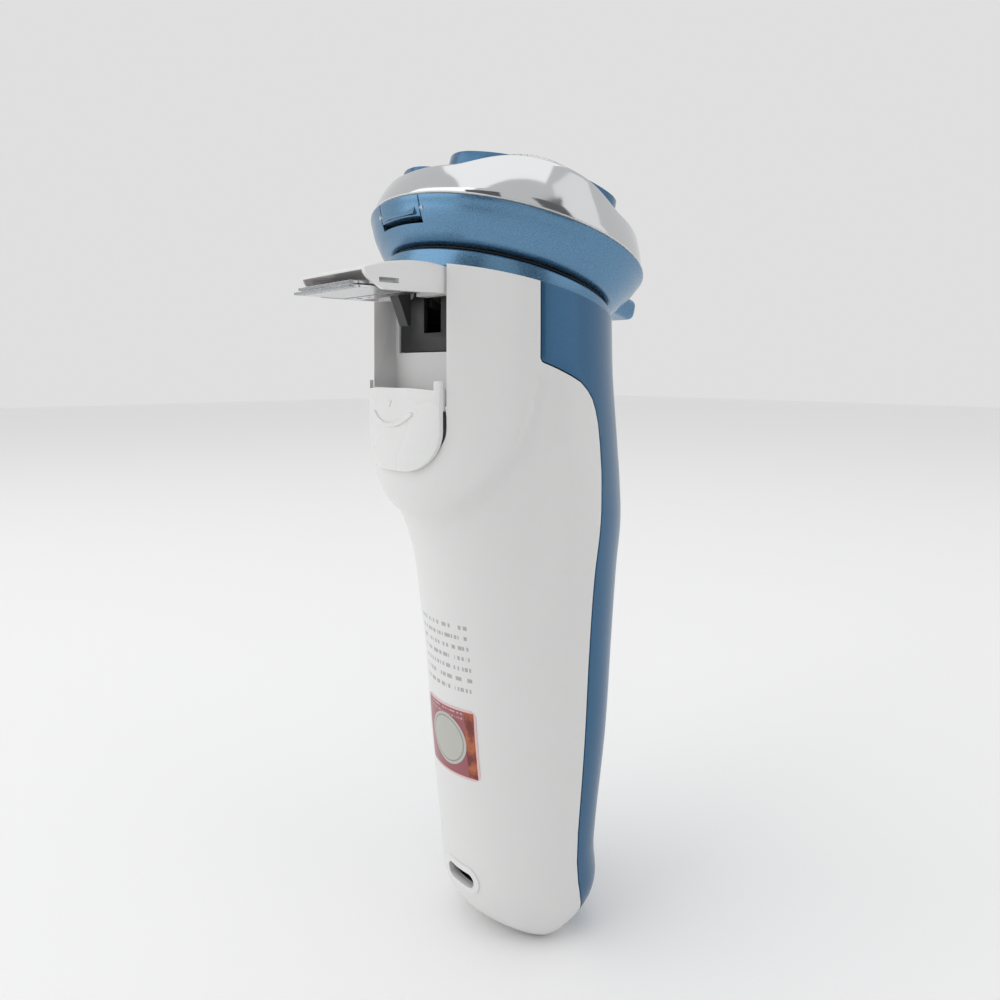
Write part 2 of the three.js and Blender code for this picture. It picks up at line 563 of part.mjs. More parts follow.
const hingeEars = all([-1, 1].map((side) => solid(block(side * (hingeHalf + 2.4) - 1, side * (hingeHalf + 2.4) + 1,
  26.5, 31.8, 2.2, bowlHeight - 0.6))));
const unitPinRadius = 0.8;
const unitPinBore = solid(crossBar(unitPinRadius + fit / 2, -hingeHalf - 2.6, hingeHalf + 2.6, hingeV, hingeN));
const buttonPocket = solid(chinBox(fit, -40, -chinReach + 3.4));
const latchSlot = solid(block(-3.6, 3.6, -30.2, -26.5, 2.6, 12));
piece('head_bowl', bowlOuter.subtract(bowlInner).add(hingeEars.intersect(bowlOuter))
  .subtract(spindleHoles).subtract(solid(bar(1.6, 0, 0, -5, 8, 16))).subtract(unitHingeNotch)
  .subtract(unitPinBore).subtract(buttonPocket).subtract(latchSlot), 'bowlBlue', head);
piece('bowl_screw', all([
  solid(bar(1.3, 0, 0, -3.4, 2.9, 16)),
  solid(bar(2.6, 0, 0, 2.6, 3.8, 16)),
]), 'steel', head);
const releaseTravel = 1.2;
piece('release_button', chinBox(0, -chinReach - 0.9, -chinReach + 3.4 - fit - releaseTravel), 'black', head);
piece('head_hinge_pin', crossBar(unitPinRadius, -hingeHalf - 2.3, hingeHalf + 2.3, hingeV, hingeN), 'steel', head);

// ---- Drive train on the head's axis, under the bowl ----
const gearLow = -8;
const gearHigh = -4.6;
const trainHole = (x, y, radius) => solid(bar(radius, x, y, -20, 2, 16));
const rearWallInHead = solid(geometryOf(solid(block(-50, 50, bayBack - bayWall - fit, 60, 0, 200)))
  .translate(0, -headOrigin.y, -headOrigin.z).rotateX(-headTilt));
const leverSwing = 11;          // the folded trimmer's lever reaches in this far
const leverNotch = solid(block(-leverHalf - 0.5, leverHalf + 0.5, leverSwing, 30, gearLow - 5, gearLow));
piece('gear_plate', solid(bar(24.6, 0, 0, gearLow - 2.1, gearLow - 0.5))
  .subtract(trainHole(0, 0, shaftRadius + 0.5))
  .subtract(all(headSpots.map(({ x, y }) => trainHole(x, y, spindleRadius + 0.4))))
  .subtract(rearWallInHead)
  .subtract(leverNotch), 'black', head);
function gear(radius, x, y, z0, z1, count, bore) {
  const outline = new THREE.Shape();
  for (let i = 0; i < count; i += 1) {
    for (const [share, depth] of [[0, 1], [0.2, 0], [0.5, 0], [0.7, 1]]) {
      const angle = ((i + share) / count) * Math.PI * 2;
      const reach = radius - depth;
      const point = [x + reach * Math.cos(angle), y + reach * Math.sin(angle)];
      if (i === 0 && share === 0) outline.moveTo(...point);
      else outline.lineTo(...point);
    }
  }
  if (bore) outline.holes.push(new THREE.Path().absarc(x, y, bore, 0, Math.PI * 2, true));
  return slabUp(outline, z0, z1);
}
piece('central_gear', gear(centralGearRadius, 0, 0, gearLow, gearHigh, 13, shaftRadius + 0.15), 'gear', head);
piece('motor_shaft', bar(shaftRadius, 0, 0, gearLow - 5, gearHigh - 0.4, 12), 'steel', head);
const motorTop = gearLow - 3.2;
piece('motor', solid(bar(motorRadius, 0, 0, motorTop - motorLength, motorTop, 24))
  .subtract(solid(bar(shaftRadius + fit, 0, 0, gearLow - 5.5, gearLow, 12))), 'steel', head);
headSpots.forEach(({ x, y }, i) => {
  piece(`drive_gear_${i + 1}`, gear(driveGearRadius, x, y, gearLow, gearHigh, 13, spindleRadius + 0.15),
    'gear', head);
  piece(`drive_spindle_${i + 1}`, all([
    solid(bar(spindleRadius, x, y, gearLow - 2, spindleTip - 2, 12)),
    solid(bar(spindleRadius - 0.3, x, y, spindleTip - 3, spindleTip, 6)),
  ]), 'black', head);
});

// ---- Shaving unit: the bright band and what it carries, hinged at the rear of the bowl ----
const lobe = (angle) => Math.cos(3 * (angle - headSpots[0].angle));
const bandSides = 48;
function bandForm(shrink, foot, rise) {
  const heights = [foot, bandFoot + 1, 0.55, 1];
  const surface = (u, v, target) => {
    const row = Math.round(v * (heights.length + 1));
    const angle = u * Math.PI * 2;
    const hump = THREE.MathUtils.clamp((lobe(angle) + 0.35) / 1.35, 0, 1);
    const top = bandTop + bandHump * hump + rise;
    const pole = row === 0 || row === heights.length + 1;
    const level = THREE.MathUtils.clamp(row - 1, 0, heights.length - 1);
    const share = [0, 0, 0.45, 1][level];
    const [low, high] = [bandRadius + 0.5 * lobe(angle), bandTopRadius + 0.8 * lobe(angle)];
    const radius = THREE.MathUtils.lerp(low, high, share);
    const z = level < 2 ? heights[level] : THREE.MathUtils.lerp(bandFoot, top, heights[level]);
    const reach = pole ? 0 : radius - shrink;
    const height = pole && row > 0 ? bandTop + bandHump / 2 + rise : z;
    target.set(reach * Math.cos(angle), reach * Math.sin(angle), height);
  };
  return solid(new ParametricGeometry(surface, bandSides, heights.length + 1));
}
piece('chrome_band', bandForm(0, bandFoot, 0).subtract(bandForm(bandWall, bandFoot - 3, 3)), 'chrome', head);

// A cap's outline: a rounded third of the head, about the head's own axis
function capShape(angle, radius, gap) {
  const spread = THREE.MathUtils.degToRad(58);
  const corner = capCorner;
  const nose = 4;
  const reach = radius - corner;
  const bend = spread - Math.asin((corner + gap) / reach);
  const noseReach = (nose + gap) / Math.sin(spread);
  const shape = new THREE.Shape();
  shape.absarc(0, 0, radius, angle - bend, angle + bend, false);
  shape.absarc(reach * Math.cos(angle + bend), reach * Math.sin(angle + bend), corner, angle + bend,
    angle + spread + Math.PI / 2, false);
  shape.absarc(noseReach * Math.cos(angle), noseReach * Math.sin(angle), nose, angle + spread + Math.PI / 2,
    angle + 2 * Math.PI - spread - Math.PI / 2, false);
  shape.absarc(reach * Math.cos(angle - bend), reach * Math.sin(angle - bend), corner,
    angle - spread - Math.PI / 2, angle - bend, false);
  return shape;
}
const frameTop = capFoot - floatTravel - fit;
const framePlate = frameTop - 1.8;
const bossCut = (grow) => all(headSpots.map(
  ({ x, y }) => solid(bar(guardRadius + 1 + grow, x, y, 0, 40, 24)),
));
const unitLug = solid(slabAlongX(new THREE.Shape([
  new THREE.Vector2(hingeV - 1.9, hingeN - 1.6), new THREE.Vector2(hingeV + 1.2, hingeN - 1.6),
  new THREE.Vector2(hingeV + 1.2, bandFoot + 1), new THREE.Vector2(hingeV - 0.4, framePlate + 1),
  new THREE.Vector2(26, framePlate + 1), new THREE.Vector2(26, framePlate),
]), -hingeHalf, hingeHalf));
const unitLatch = solid(block(-3, 3, -29.6, -27.6, 4.6, framePlate + 1));
const frameDisc = bandForm(bandWall + fit, bandFoot, 0).intersect(
  solid(block(-60, 60, -60, 60, framePlate, frameTop)));
piece('head_frame', frameDisc.subtract(bossCut(fit)).add(unitLug.subtract(bandForm(0, bandFoot - 0.3, 0)
  .subtract(bandForm(bandWall + fit, bandFoot - 0.6, 3)))).add(unitLatch)
  .subtract(solid(crossBar(unitPinRadius + fit / 2, -20, 20, hingeV, hingeN)))
  .subtract(solid(bar(2.2, 0, 0, 0, 30, 12))), 'bowlBlue', head);

const retainerFoot = bandFoot + 0.2;
const retainerTop = framePlate - fit;
const guardFoot = framePlate + 0.2;
const ringTop = guardFoot - floatTravel - fit;
piece('retaining_frame', all([
  ...headSpots.map(({ x, y }) => solid(bar(guardRadius + 2, x, y, retainerFoot, ringTop, 20))),
  solid(bar(7, 0, 0, retainerFoot, ringTop, 24)),
  solid(bar(3.7, 0, 0, retainerFoot, retainerTop, 20)),
]).subtract(all(headSpots.map(({ x, y }) => solid(bar(5.4, x, y, 0, 30, 16)))))
  .subtract(solid(bar(2.2, 0, 0, 0, 30, 16)))
  .subtract(solid(block(-20, 20, -35, -27.2, 0, 30)))
  .subtract(solid(block(-10, 10, 25.6, 40, 0, 30))), 'black', head);
piece('frame_knob', all([
  solid(bar(1.9, 0, 0, retainerFoot - 0.4, framePlate + 0.9 - fit, 16)),
  solid(slabUp(roundedRect(-4.4, 4.4, -1.2, 1.2, 1), retainerFoot - 2.5, retainerFoot - fit)),
  solid(bar(3.2, 0, 0, retainerFoot - 1.2, retainerFoot - fit, 20)),
]), 'black', head);

headSpots.forEach(({ angle, x, y }, i) => {
  const number = i + 1;
  const guardOuter = guardRadius - fit;
  piece(`head_cap_${number}`, solid(slabUp(capShape(angle, capRadius, 0.5), capFoot, capTop - 1.6, 5))
    .add(solid(slabUp(capShape(angle, capRadius - 1.2, 1.3), capTop - 1.7, capTop, 5)))
    .subtract(solid(bar(guardRadius, x, y, 0, 40, 24)))
    .subtract(solid(bar(guardRadius + 0.9, x, y, 0, capFoot + 1, 24))), 'blue', head);
  piece(`guard_${number}`, turned([[guardOuter - guardWall, guardFoot], [guardOuter + 0.9, guardFoot],
    [guardOuter + 0.9, capFoot + 1 - fit], [guardOuter, capFoot + 1 - fit], [guardOuter, guardTop - 1],
    [guardOuter - 1, guardTop], [4.6, guardTop], [4, guardTop - 0.7], [0, guardTop - 0.7],
    [0, guardTop - 1.5], [guardOuter - 1.6, guardTop - guardWall], [guardOuter - guardWall, guardTop - 1.4]]
    , 24).translate(x, y, 0), 'steel', head);
  const cutterTop = guardTop - 1.8;
  piece(`cutter_${number}`, all([
    solid(bar(guardOuter - guardWall - 0.9, x, y, cutterTop - 1.4, cutterTop, 20)),
    solid(bar(4.4, x, y, framePlate - 1.2, cutterTop - 1, 14)),
  ]).subtract(solid(bar(spindleRadius + 0.6, x, y, 0, spindleTip + floatTravel + 0.6, 12))), 'steel', head);
});

export default shaver;
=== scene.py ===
import math
from functools import lru_cache
import bpy
from mathutils import Matrix, Vector


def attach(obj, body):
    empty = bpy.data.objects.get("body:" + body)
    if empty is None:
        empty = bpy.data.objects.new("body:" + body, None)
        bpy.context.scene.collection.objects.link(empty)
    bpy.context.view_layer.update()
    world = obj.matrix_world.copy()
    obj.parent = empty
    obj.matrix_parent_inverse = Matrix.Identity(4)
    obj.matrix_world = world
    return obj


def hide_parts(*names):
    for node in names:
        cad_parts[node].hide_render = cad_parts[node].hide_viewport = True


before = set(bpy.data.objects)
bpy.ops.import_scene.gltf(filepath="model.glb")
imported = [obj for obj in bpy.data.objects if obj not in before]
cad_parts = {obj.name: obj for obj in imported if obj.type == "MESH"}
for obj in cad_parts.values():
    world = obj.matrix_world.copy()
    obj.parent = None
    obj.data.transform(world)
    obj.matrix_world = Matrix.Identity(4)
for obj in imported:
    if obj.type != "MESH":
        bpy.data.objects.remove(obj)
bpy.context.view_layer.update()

# ---- Camera, lights and floor ----
# A studio table: a pale floor, a broad soft light on each side and one above, and two dark cards that give
# the bright band something to mirror.
scene = bpy.context.scene
camera_data = bpy.data.cameras.new("camera")
camera = bpy.data.objects.new("camera", camera_data)
scene.collection.objects.link(camera)
camera.location = (-0.1441, 0.126, 0.1309)
camera.rotation_euler = (math.radians(90), 0, math.radians(229))
camera_data.lens = 28.44
camera_data.shift_y = -0.13
camera_data.clip_start = 0.01
scene.camera = camera


def soft_light(name, place, target, size, power):
    data = bpy.data.lights.new(name, "AREA")
    data.shape = "RECTANGLE"
    data.size, data.size_y = size
    data.energy = power
    light = bpy.data.objects.new(name, data)
    scene.collection.objects.link(light)
    light.location = place
    light.rotation_euler = (Vector(target) - Vector(place)).to_track_quat("-Z", "Y").to_euler()


soft_light("window_left", (0.35, 0.95, 0.55), (0, 0, 0.09), (1.1, 1.1), 3.6)
soft_light("window_right", (-0.95, -0.45, 0.5), (0, 0, 0.09), (0.8, 1.0), 0.8)
soft_light("sky_panel", (-0.1, 0.1, 1.1), (0, 0, 0.1), (1.2, 1.2), 2.6)
DARK_CARDS = (("card_left", (-0.3, 0.75, 0.34), (0.42, 0.6)), ("card_right", (-0.8, 0.1, 0.34), (0.4, 0.6)))
HEAD_HEIGHT = 0.16
for name, place, size in DARK_CARDS:
    bpy.ops.object.select_all(action="DESELECT")
    bpy.ops.mesh.primitive_plane_add(size=1, location=place)
    card = bpy.context.object
    card.name = name
    card.scale = (*size, 1)
    card.rotation_euler = (Vector(place) - Vector((0, 0, HEAD_HEIGHT))).to_track_quat("Z", "Y").to_euler()
    card_paint = bpy.data.materials.new(name)
    card_paint.use_nodes = True
    card_paint.node_tree.nodes["Principled BSDF"].inputs["Base Color"].default_value = (0.16, 0.16, 0.17, 1)
    card_paint.node_tree.nodes["Principled BSDF"].inputs["Roughness"].default_value = 0.9
    card.data.materials.append(card_paint)
world = bpy.data.worlds.new("studio")
scene.world = world
world.use_nodes = True
world.node_tree.nodes["Background"].inputs["Color"].default_value = (1, 1, 1, 1)
world.node_tree.nodes["Background"].inputs["Strength"].default_value = 0.74
scene.view_settings.view_transform = "Standard"

bpy.ops.object.select_all(action="DESELECT")
bpy.ops.mesh.primitive_plane_add(size=6, location=(0, 0, -0.0005))
floor = bpy.context.object
floor.name = "floor"
floor_paint = bpy.data.materials.new("floor_paint")
floor_paint.use_nodes = True
floor_paint.node_tree.nodes["Principled BSDF"].inputs["Base Color"].default_value = (0.93, 0.93, 0.93, 1)
floor_paint.node_tree.nodes["Principled BSDF"].inputs["Roughness"].default_value = 0.7
floor.data.materials.append(floor_paint)


# ---- The handle's form ----
# Both shells are moulded to one outer form, drawn through stations from the foot up. Each station gives the
# half width, the rearmost and foremost points, and how much narrower the rear is than the front.
# Heights count from a datum a little above the foot, so each finished mesh is raised by that much.
MM = 0.001
DATUM = 8.7
FORM = [
    (-8.7, 18.4, 8.0, -12.6, 0.06),
    (0, 20.0, 12.1, -20.5, 0.10),
    (12, 20.8, 13.4, -19.7, 0.12),
    (38, 22.7, 16.6, -22.7, 0.16),
    (60, 23.8, 18.6, -24.5, 0.16),
    (76, 25.2, 22.0, -26.0, 0.14),
    (87, 27.0, 25.3, -27.4, 0.09),
    (97, 28.0, 30.2, -28.0, 0.03),
    (105, 28.2, 31.1, -27.6, 0.0),
    (126, 28.2, 31.1, -25.3, 0.0),
    (150, 28.2, 31.1, -25.3, 0.0),
]
FOOT_RISE = 13.6
FOOT_INSET = 8.3
FOOT_FLAT = 0.298


@lru_cache(maxsize=None)
def form_at(height):
    """The station's values at a height, run smoothly between the stations."""
    last = len(FORM) - 1
    low = 0
    while low < last - 1 and height > FORM[low + 1][0]:
        low += 1

    def slope(k, column):
        before, after = FORM[max(k - 1, 0)], FORM[min(k + 1, last)]
        return (after[column] - before[column]) / (after[0] - before[0])

    span = FORM[low + 1][0] - FORM[low][0]
    t = min(max((height - FORM[low][0]) / span, 0), 1)
    values = []
    for column in (1, 2, 3, 4):
        start = (2 * t**3 - 3 * t**2 + 1) * FORM[low][column]
        start += (t**3 - 2 * t**2 + t) * span * slope(low, column)
        end = (3 * t**2 - 2 * t**3) * FORM[low + 1][column]
        end += (t**3 - t**2) * span * slope(low + 1, column)
        values.append(start + end)
    return values


def form_point(angle, height, inset):
    """A point of the form, in millimetres; the angle is a quarter turn at the rear."""
    half, rear, front, egg = form_at(height)
    half, rear, front = half - inset, rear - inset, front + inset
    x = half * math.cos(angle) * (1 - egg * math.sin(angle))
    return x, (rear + front) / 2 + math.sin(angle) * (rear - front) / 2


def smooth(t):
    t = min(max(t, 0), 1)
    return t * t * (3 - 2 * t)


# The rear shell's cheek: the upper neck stands a little proud of the grip, along a line that sweeps down and
# back.
CHEEK = [(12.5, 124), (14.5, 116), (17.2, 108), (21.5, 100), (25, 94), (29, 90), (34, 88)]


def cheek_height(y):
    for (y0, z0), (y1, z1) in zip(CHEEK, CHEEK[1:]):
        if y <= y1:
            return z0 + (z1 - z0) * (y - y0) / (y1 - y0)
    return CHEEK[-1][1]


def form_relief(x, y, z):
    """How far the surface is drawn in below the cheek and along the side of the grip, in millimetres."""
    if y < -4:
        return 0
    drop = 0
    if z > 60 and y > 2:
        below = (cheek_height(max(y, 12.5)) - z) / 5
        side = smooth((y - 2) / 8)
        drop += 1.5 * smooth(below) * (1 - smooth((84 - z) / 22)) * side
    return drop


def handle_solid(name, growth=0.0, segments=144, rings=150):
    """The whole handle as one closed form, grown by a distance in millimetres."""
    bpy.ops.object.select_all(action="DESELECT")
    bpy.ops.mesh.primitive_uv_sphere_add(segments=segments, ring_count=rings, radius=1)
    body = bpy.context.object
    body.name = name
    foot_share, top_share, disc = 0.15, 0.97, 0.04
    for vertex in body.data.vertices:
        x, y, z = vertex.co
        share = math.acos(max(-1, min(1, -z))) / math.pi
        angle = math.atan2(y, x)
        if share < disc:
            height, inset, size = -DATUM, FOOT_INSET * (1 - math.sin(FOOT_FLAT)), share / disc
        elif share < foot_share:
            turn = FOOT_FLAT + (share - disc) / (foot_share - disc) * (math.pi / 2 - FOOT_FLAT)
            height = FOOT_RISE * (math.cos(FOOT_FLAT) - math.cos(turn)) - DATUM
            inset, size = FOOT_INSET * (1 - math.sin(turn)), 1
        elif share < top_share:
            start = FOOT_RISE * math.cos(FOOT_FLAT) - DATUM
            height = start + (150 - start) * (share - foot_share) / (top_share - foot_share)
            inset, size = 0, 1
        else:
            height, inset, size = 150, 0, (1 - share) / (1 - top_share)
        px, py = form_point(angle, height, inset - growth)
        relief = form_relief(px, py, height)
        if relief:
            px, py = form_point(angle, height, inset - growth + relief)
        middle = form_at(height)
        centre = (middle[1] + middle[2]) / 2
        rise = growth * (1 - min((height + DATUM) / FOOT_RISE, 1))
        vertex.co = (size * px * MM, (centre + size * (py - centre)) * MM, (height - rise) * MM)
    return body


def finish_modifiers(piece):
    bpy.ops.object.select_all(action="DESELECT")
    bpy.context.view_layer.objects.active = piece
    piece.select_set(True)
    for modifier in list(piece.modifiers):
        bpy.ops.object.modifier_apply(modifier=modifier.name)


def carve(piece, tool, operation="DIFFERENCE"):
    """Cuts, joins or keeps the overlap with a tool, which is then put away."""
    modifier = piece.modifiers.new("carve", "BOOLEAN")
    modifier.operation = operation
    modifier.solver = "MANIFOLD"
    modifier.object = tool
    finish_modifiers(piece)
    bpy.data.objects.remove(tool)


def soften(piece, width, segments=2, angle=35):
    """Rounds a piece's sharp edges and shades it smooth."""
    bevel = piece.modifiers.new("soften", "BEVEL")
    bevel.width = width * MM
    bevel.segments = segments
    bevel.limit_method = "ANGLE"
    bevel.angle_limit = math.radians(angle)
    bevel.miter_outer = "MITER_ARC"
    bevel.use_clamp_overlap = True
    finish_modifiers(piece)
    bpy.ops.object.select_all(action="DESELECT")
    piece.select_set(True)
    bpy.context.view_layer.objects.active = piece
    bpy.ops.object.shade_smooth_by_angle(angle=math.radians(30))


def block(name, low, high):
    """A box between two corners, in millimetres."""
    bpy.ops.object.select_all(action="DESELECT")
    middle = [(a + b) / 2 * MM for a, b in zip(low, high)]
    bpy.ops.mesh.primitive_cube_add(size=1, location=middle)
    box = bpy.context.object
    box.name = name
    box.scale = [(b - a) * MM for a, b in zip(low, high)]
    bpy.ops.object.transform_apply(location=True, rotation=True, scale=True)
    return box


def slab(name, outline, axis, low, high):
    """A plate with a closed outline, in millimetres, pushed along an axis from low to high."""
    bpy.ops.object.select_all(action="DESELECT")
    bpy.ops.mesh.primitive_circle_add(vertices=len(outline), radius=1, fill_type="NGON")
    plate = bpy.context.object
    plate.name = name
    place = {"X": lambda a, b: (low, a, b), "Y": lambda a, b: (a, low, b), "Z": lambda a, b: (a, b, low)}[axis]
    for vertex, (a, b) in zip(plate.data.vertices, outline):
        vertex.co = Vector(place(a, b)) * MM
    push = Vector((axis == "X", axis == "Y", axis == "Z")) * (high - low) * MM
    bpy.ops.object.mode_set(mode="EDIT")
    bpy.ops.mesh.select_all(action="SELECT")
    bpy.ops.mesh.extrude_region_move(TRANSFORM_OT_translate={"value": push})
    bpy.ops.mesh.select_all(action="SELECT")
    bpy.ops.mesh.normals_make_consistent(inside=False)
    bpy.ops.object.mode_set(mode="OBJECT")
    return plate


def arc(a, b, radius, start, end, steps=8):
    """Points on a round corner, in degrees."""
    turns = [math.radians(start + (end - start) * i / steps) for i in range(steps + 1)]
    return [(a + radius * math.cos(t), b + radius * math.sin(t)) for t in turns]


def rounded_outline(a0, a1, b0, b1, radius, steps=8):
    return (arc(a1 - radius, b0 + radius, radius, -90, 0, steps)
            + arc(a1 - radius, b1 - radius, radius, 0, 90, steps)
            + arc(a0 + radius, b1 - radius, radius, 90, 180, steps)
            + arc(a0 + radius, b0 + radius, radius, 180, 270, steps))


def bar(name, axis, place, radius, low, high, sides=48):
    """A round bar along an axis; place is its centre in the other two directions, in millimetres."""
    outline = arc(place[0], place[1], radius, 0, 360 - 360 / sides, sides - 1)
    return slab(name, outline, axis, low, high)


# The open line between the shells, from the collar down to the foot, as seen from the side
SEAM = [(12.5, 165), (12.5, 124.6), (12.2, 124), (11.6, 123.7), (8, 122.4), (5, 121.1), (2.2, 119.6),
        (0, 117.8),
        (-1.6, 116), (-2.8, 113.6), (-3.8, 110.5), (-4.5, 106), (-5, 100), (-5.2, 90), (-5.1, 75), (-5, 60),
        (-4.7, 45), (-4.4, 30), (-4.1, 18), (-4.3, 11), (-5, 6), (-6, 2.2), (-7.2, -1), (-8.7, -4.4),
        (-10.5, -7.6),
        (-14, -13)]


def seam_block(name, side, gap=0.16):
    points = []
    for i, (y, z) in enumerate(SEAM):
        before, after = Vector(SEAM[max(i - 1, 0)]), Vector(SEAM[min(i + 1, len(SEAM) - 1)])
        direction = (after - before).normalized()
        points.append((y - direction.y * side * gap, z + direction.x * side * gap))
    points += [(side * 60, -13), (side * 60, 165)]
    return slab(name, points, "X", -60, 60)


NECK_TOP = 137.6
NECK_SLOPE = 0.24


def neck_block(name, offset=0.0):
    """Everything above the neck's sloping top."""
    top = block(name, (-100, -100, 0), (100, 100, 100))
    lift = Matrix.Translation((0, 0, (NECK_TOP + offset) * MM))
    top.data.transform(lift @ Matrix.Rotation(math.atan(NECK_SLOPE), 4, "X"))
    return top


# ---- Finishes ----
# A small wrapper lets the finishes be written as sums on what the shader reads.
class Shade:
    """A number or colour that varies over a surface; sums on it add Math nodes."""

    def __init__(self, finish, socket):
        self.finish = finish
        self.socket = socket

    def math(self, operation, other, swap=False):
        values = [other, self] if swap else [self, other]
        return self.finish.node("ShaderNodeMath", {"operation": operation}, dict(enumerate(values)))

    def __add__(self, other):
        return self.math("ADD", other)

    __radd__ = __add__

    def __mul__(self, other):
        return self.math("MULTIPLY", other)

    __rmul__ = __mul__

    def __sub__(self, other):
        return self.math("SUBTRACT", other)

    def __rsub__(self, other):
        return self.math("SUBTRACT", other, swap=True)

    def over(self, edge):
        return self.math("GREATER_THAN", edge)

    def under(self, edge):
        return self.math("LESS_THAN", edge)

    def size(self):
        return self.finish.node("ShaderNodeMath", {"operation": "ABSOLUTE"}, {0: self})


class Finish:
    """A material on a Principled shader."""

    def __init__(self, name, colour, roughness, metallic=0.0, **plain):
        self.material = bpy.data.materials.new(name)
        self.material.use_nodes = True
        self.tree = self.material.node_tree
        self.shader = self.tree.nodes["Principled BSDF"]
        self.set("Base Color", (*colour, 1))
        self.set("Roughness", roughness)
        self.set("Metallic", metallic)
        for key, value in plain.items():
            self.set(key.replace("_", " "), value)
        self.place = self.node("ShaderNodeTexCoord", {}, {}, "Object")
        self.parts = None

    def set(self, socket, value):
        target = self.shader.inputs[socket]
        if isinstance(value, Shade):
            self.tree.links.new(value.socket, target)
        else:
            target.default_value = value

    def node(self, kind, settings, values, out=0):
        made = self.tree.nodes.new(kind)
        for key, value in settings.items():
            setattr(made, key, value)
        for key, value in values.items():
            if isinstance(value, Shade):
                self.tree.links.new(value.socket, made.inputs[key])
            else:
                made.inputs[key].default_value = value
        return Shade(self, made.outputs[out])

    def axis(self, letter):
        if self.parts is None:
            self.parts = self.node("ShaderNodeSeparateXYZ", {}, {0: self.place})
        along = Shade(self, self.parts.socket.node.outputs[letter])
        return along - DATUM * MM if letter == "Z" else along

    def noise(self, scale, detail=2.0, roughness=0.5, out=0):
        return self.node("ShaderNodeTexNoise", {}, {"Vector": self.place, "Scale": scale, "Detail": detail,
                                                    "Roughness": roughness}, out)

    def ramp(self, value, low, high, start, end):
        return self.node("ShaderNodeMapRange", {"interpolation_type": "SMOOTHSTEP"},
                         {"Value": value, "From Min": low, "From Max": high, "To Min": start, "To Max": end})

    def mix(self, factor, colour_a, colour_b):
        ends = [c if isinstance(c, Shade) else (*c, 1) for c in (colour_a, colour_b)]
        return self.node("ShaderNodeMix", {"data_type": "RGBA"}, {0: factor, 6: ends[0], 7: ends[1]}, 2)

    def bump(self, height, strength, distance):
        self.set("Normal", self.node("ShaderNodeBump", {}, {"Height": height, "Strength": strength,
                                                          "Distance": distance}))

    def on(self, piece):
        piece.data.materials.clear()
        piece.data.materials.append(self.material)


def white_plastic(name, colour=(0.74, 0.74, 0.735), roughness=0.33):
    """Injection-moulded white plastic with a fine eggshell texture and the odd rubbed patch."""
    finish = Finish(name, colour, roughness, Coat_Weight=0.1, Coat_Roughness=0.25, Subsurface_Weight=0.06,
                    Subsurface_Scale=0.002)
    grain = finish.noise(2600, 2)
    worn = finish.noise(38, 3)
    finish.set("Roughness", finish.ramp(worn, 0.3, 0.75, roughness - 0.03, roughness + 0.07))
    finish.bump(grain, 0.06, 0.0002)
    return finish


def metallic_blue(name, deep, bright, roughness, metallic=0.72):
    """Plastic coloured all through with fine metal flake under a clear skin."""
    finish = Finish(name, deep, roughness, metallic, Coat_Weight=0.35, Coat_Roughness=0.12)
    flake = finish.node("ShaderNodeTexVoronoi", {}, {"Vector": finish.place, "Scale": 7500.0}, "Color")
    spark = finish.node("ShaderNodeSeparateColor", {}, {0: flake})
    cloud = finish.noise(22, 2)
    finish.set("Base Color", finish.mix(finish.ramp(spark, 0.2, 1, 0, 0.4) + cloud * 0.25, deep, bright))
    finish.set("Roughness", finish.ramp(spark, 0, 1, roughness - 0.06, roughness + 0.06))
    finish.bump(finish.noise(3800, 1), 0.07, 0.0001)
    return finish


shell_blue = metallic_blue("shell_blue", (0.026, 0.105, 0.215), (0.05, 0.16, 0.29), 0.36)
head_blue = metallic_blue("head_blue", (0.085, 0.205, 0.345), (0.17, 0.33, 0.5), 0.3, 0.8)


def fit_up(piece, body, slot, *nodes):
    """Raises a finished piece from the datum, hangs it on its body, hides the parts it stands for; slot is
    unused.
    """
    piece.data.transform(Matrix.Translation((0, 0, DATUM * MM)))
    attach(piece, body)
    if nodes:
        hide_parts(*nodes)


# ---- Rear shell ----
# White moulded plastic, 2 mm thick, with the trimmer's bay and the slider's channel moulded in one with it.
# The charging port's mouth is cut through it at the foot. Rows of small grey print sit above the label.
rear = handle_solid("rear_cover")
carve(rear, handle_solid("rear_core", -2.0))
carve(rear, seam_block("rear_part", 1), "INTERSECT")
liner = slab("bay_liner", rounded_outline(-15.5, 15.5, 102.4, 165, 3), "Y", 19.7, 60)
inner_form = handle_solid("liner_form", -1.0, 96, 100)
carve(liner, inner_form, "INTERSECT")
carve(rear, liner, "UNION")
carve(rear, neck_block("neck_cut"))
carve(rear, block("bay_cut", (-13.9, 21.3, 114.6), (13.9, 60, 160)))
carve(rear, slab("channel_cut", rounded_outline(-13.9, 13.9, 104, 118.6, 6), "Y", 24.5, 60))
carve(rear, block("panel_cut", (-12.7, 18, 126.2), (12.7, 22, 141.7)))
carve(rear, slab("port_cut", rounded_outline(-4.8, 4.8, 3.5, 7.3, 1.88, 10), "Y", 2, 30))
soften(rear, 0.3)
white = white_plastic("shell_white")
x, y, z = white.axis("X"), white.axis("Y"), white.axis("Z")
row = white.node("ShaderNodeMath", {"operation": "WRAP"}, {0: z, 1: 0.0024, 2: 0.0})
line = white.node("ShaderNodeMath", {"operation": "FLOOR"}, {0: z * (1 / 0.0024)})
dash = white.node("ShaderNodeTexNoise", {"noise_dimensions": "2D"},
                  {"Vector": white.node("ShaderNodeCombineXYZ", {}, {0: x * 1500, 1: line * 7.3}),
                   "Scale": 1.0, "Detail": 0.0})
print_mask = (row.under(0.0009) * dash.over(0.5) * z.over(0.0496) * z.under(0.0664) * y.over(0.005)
              * x.size().under(0.0082))
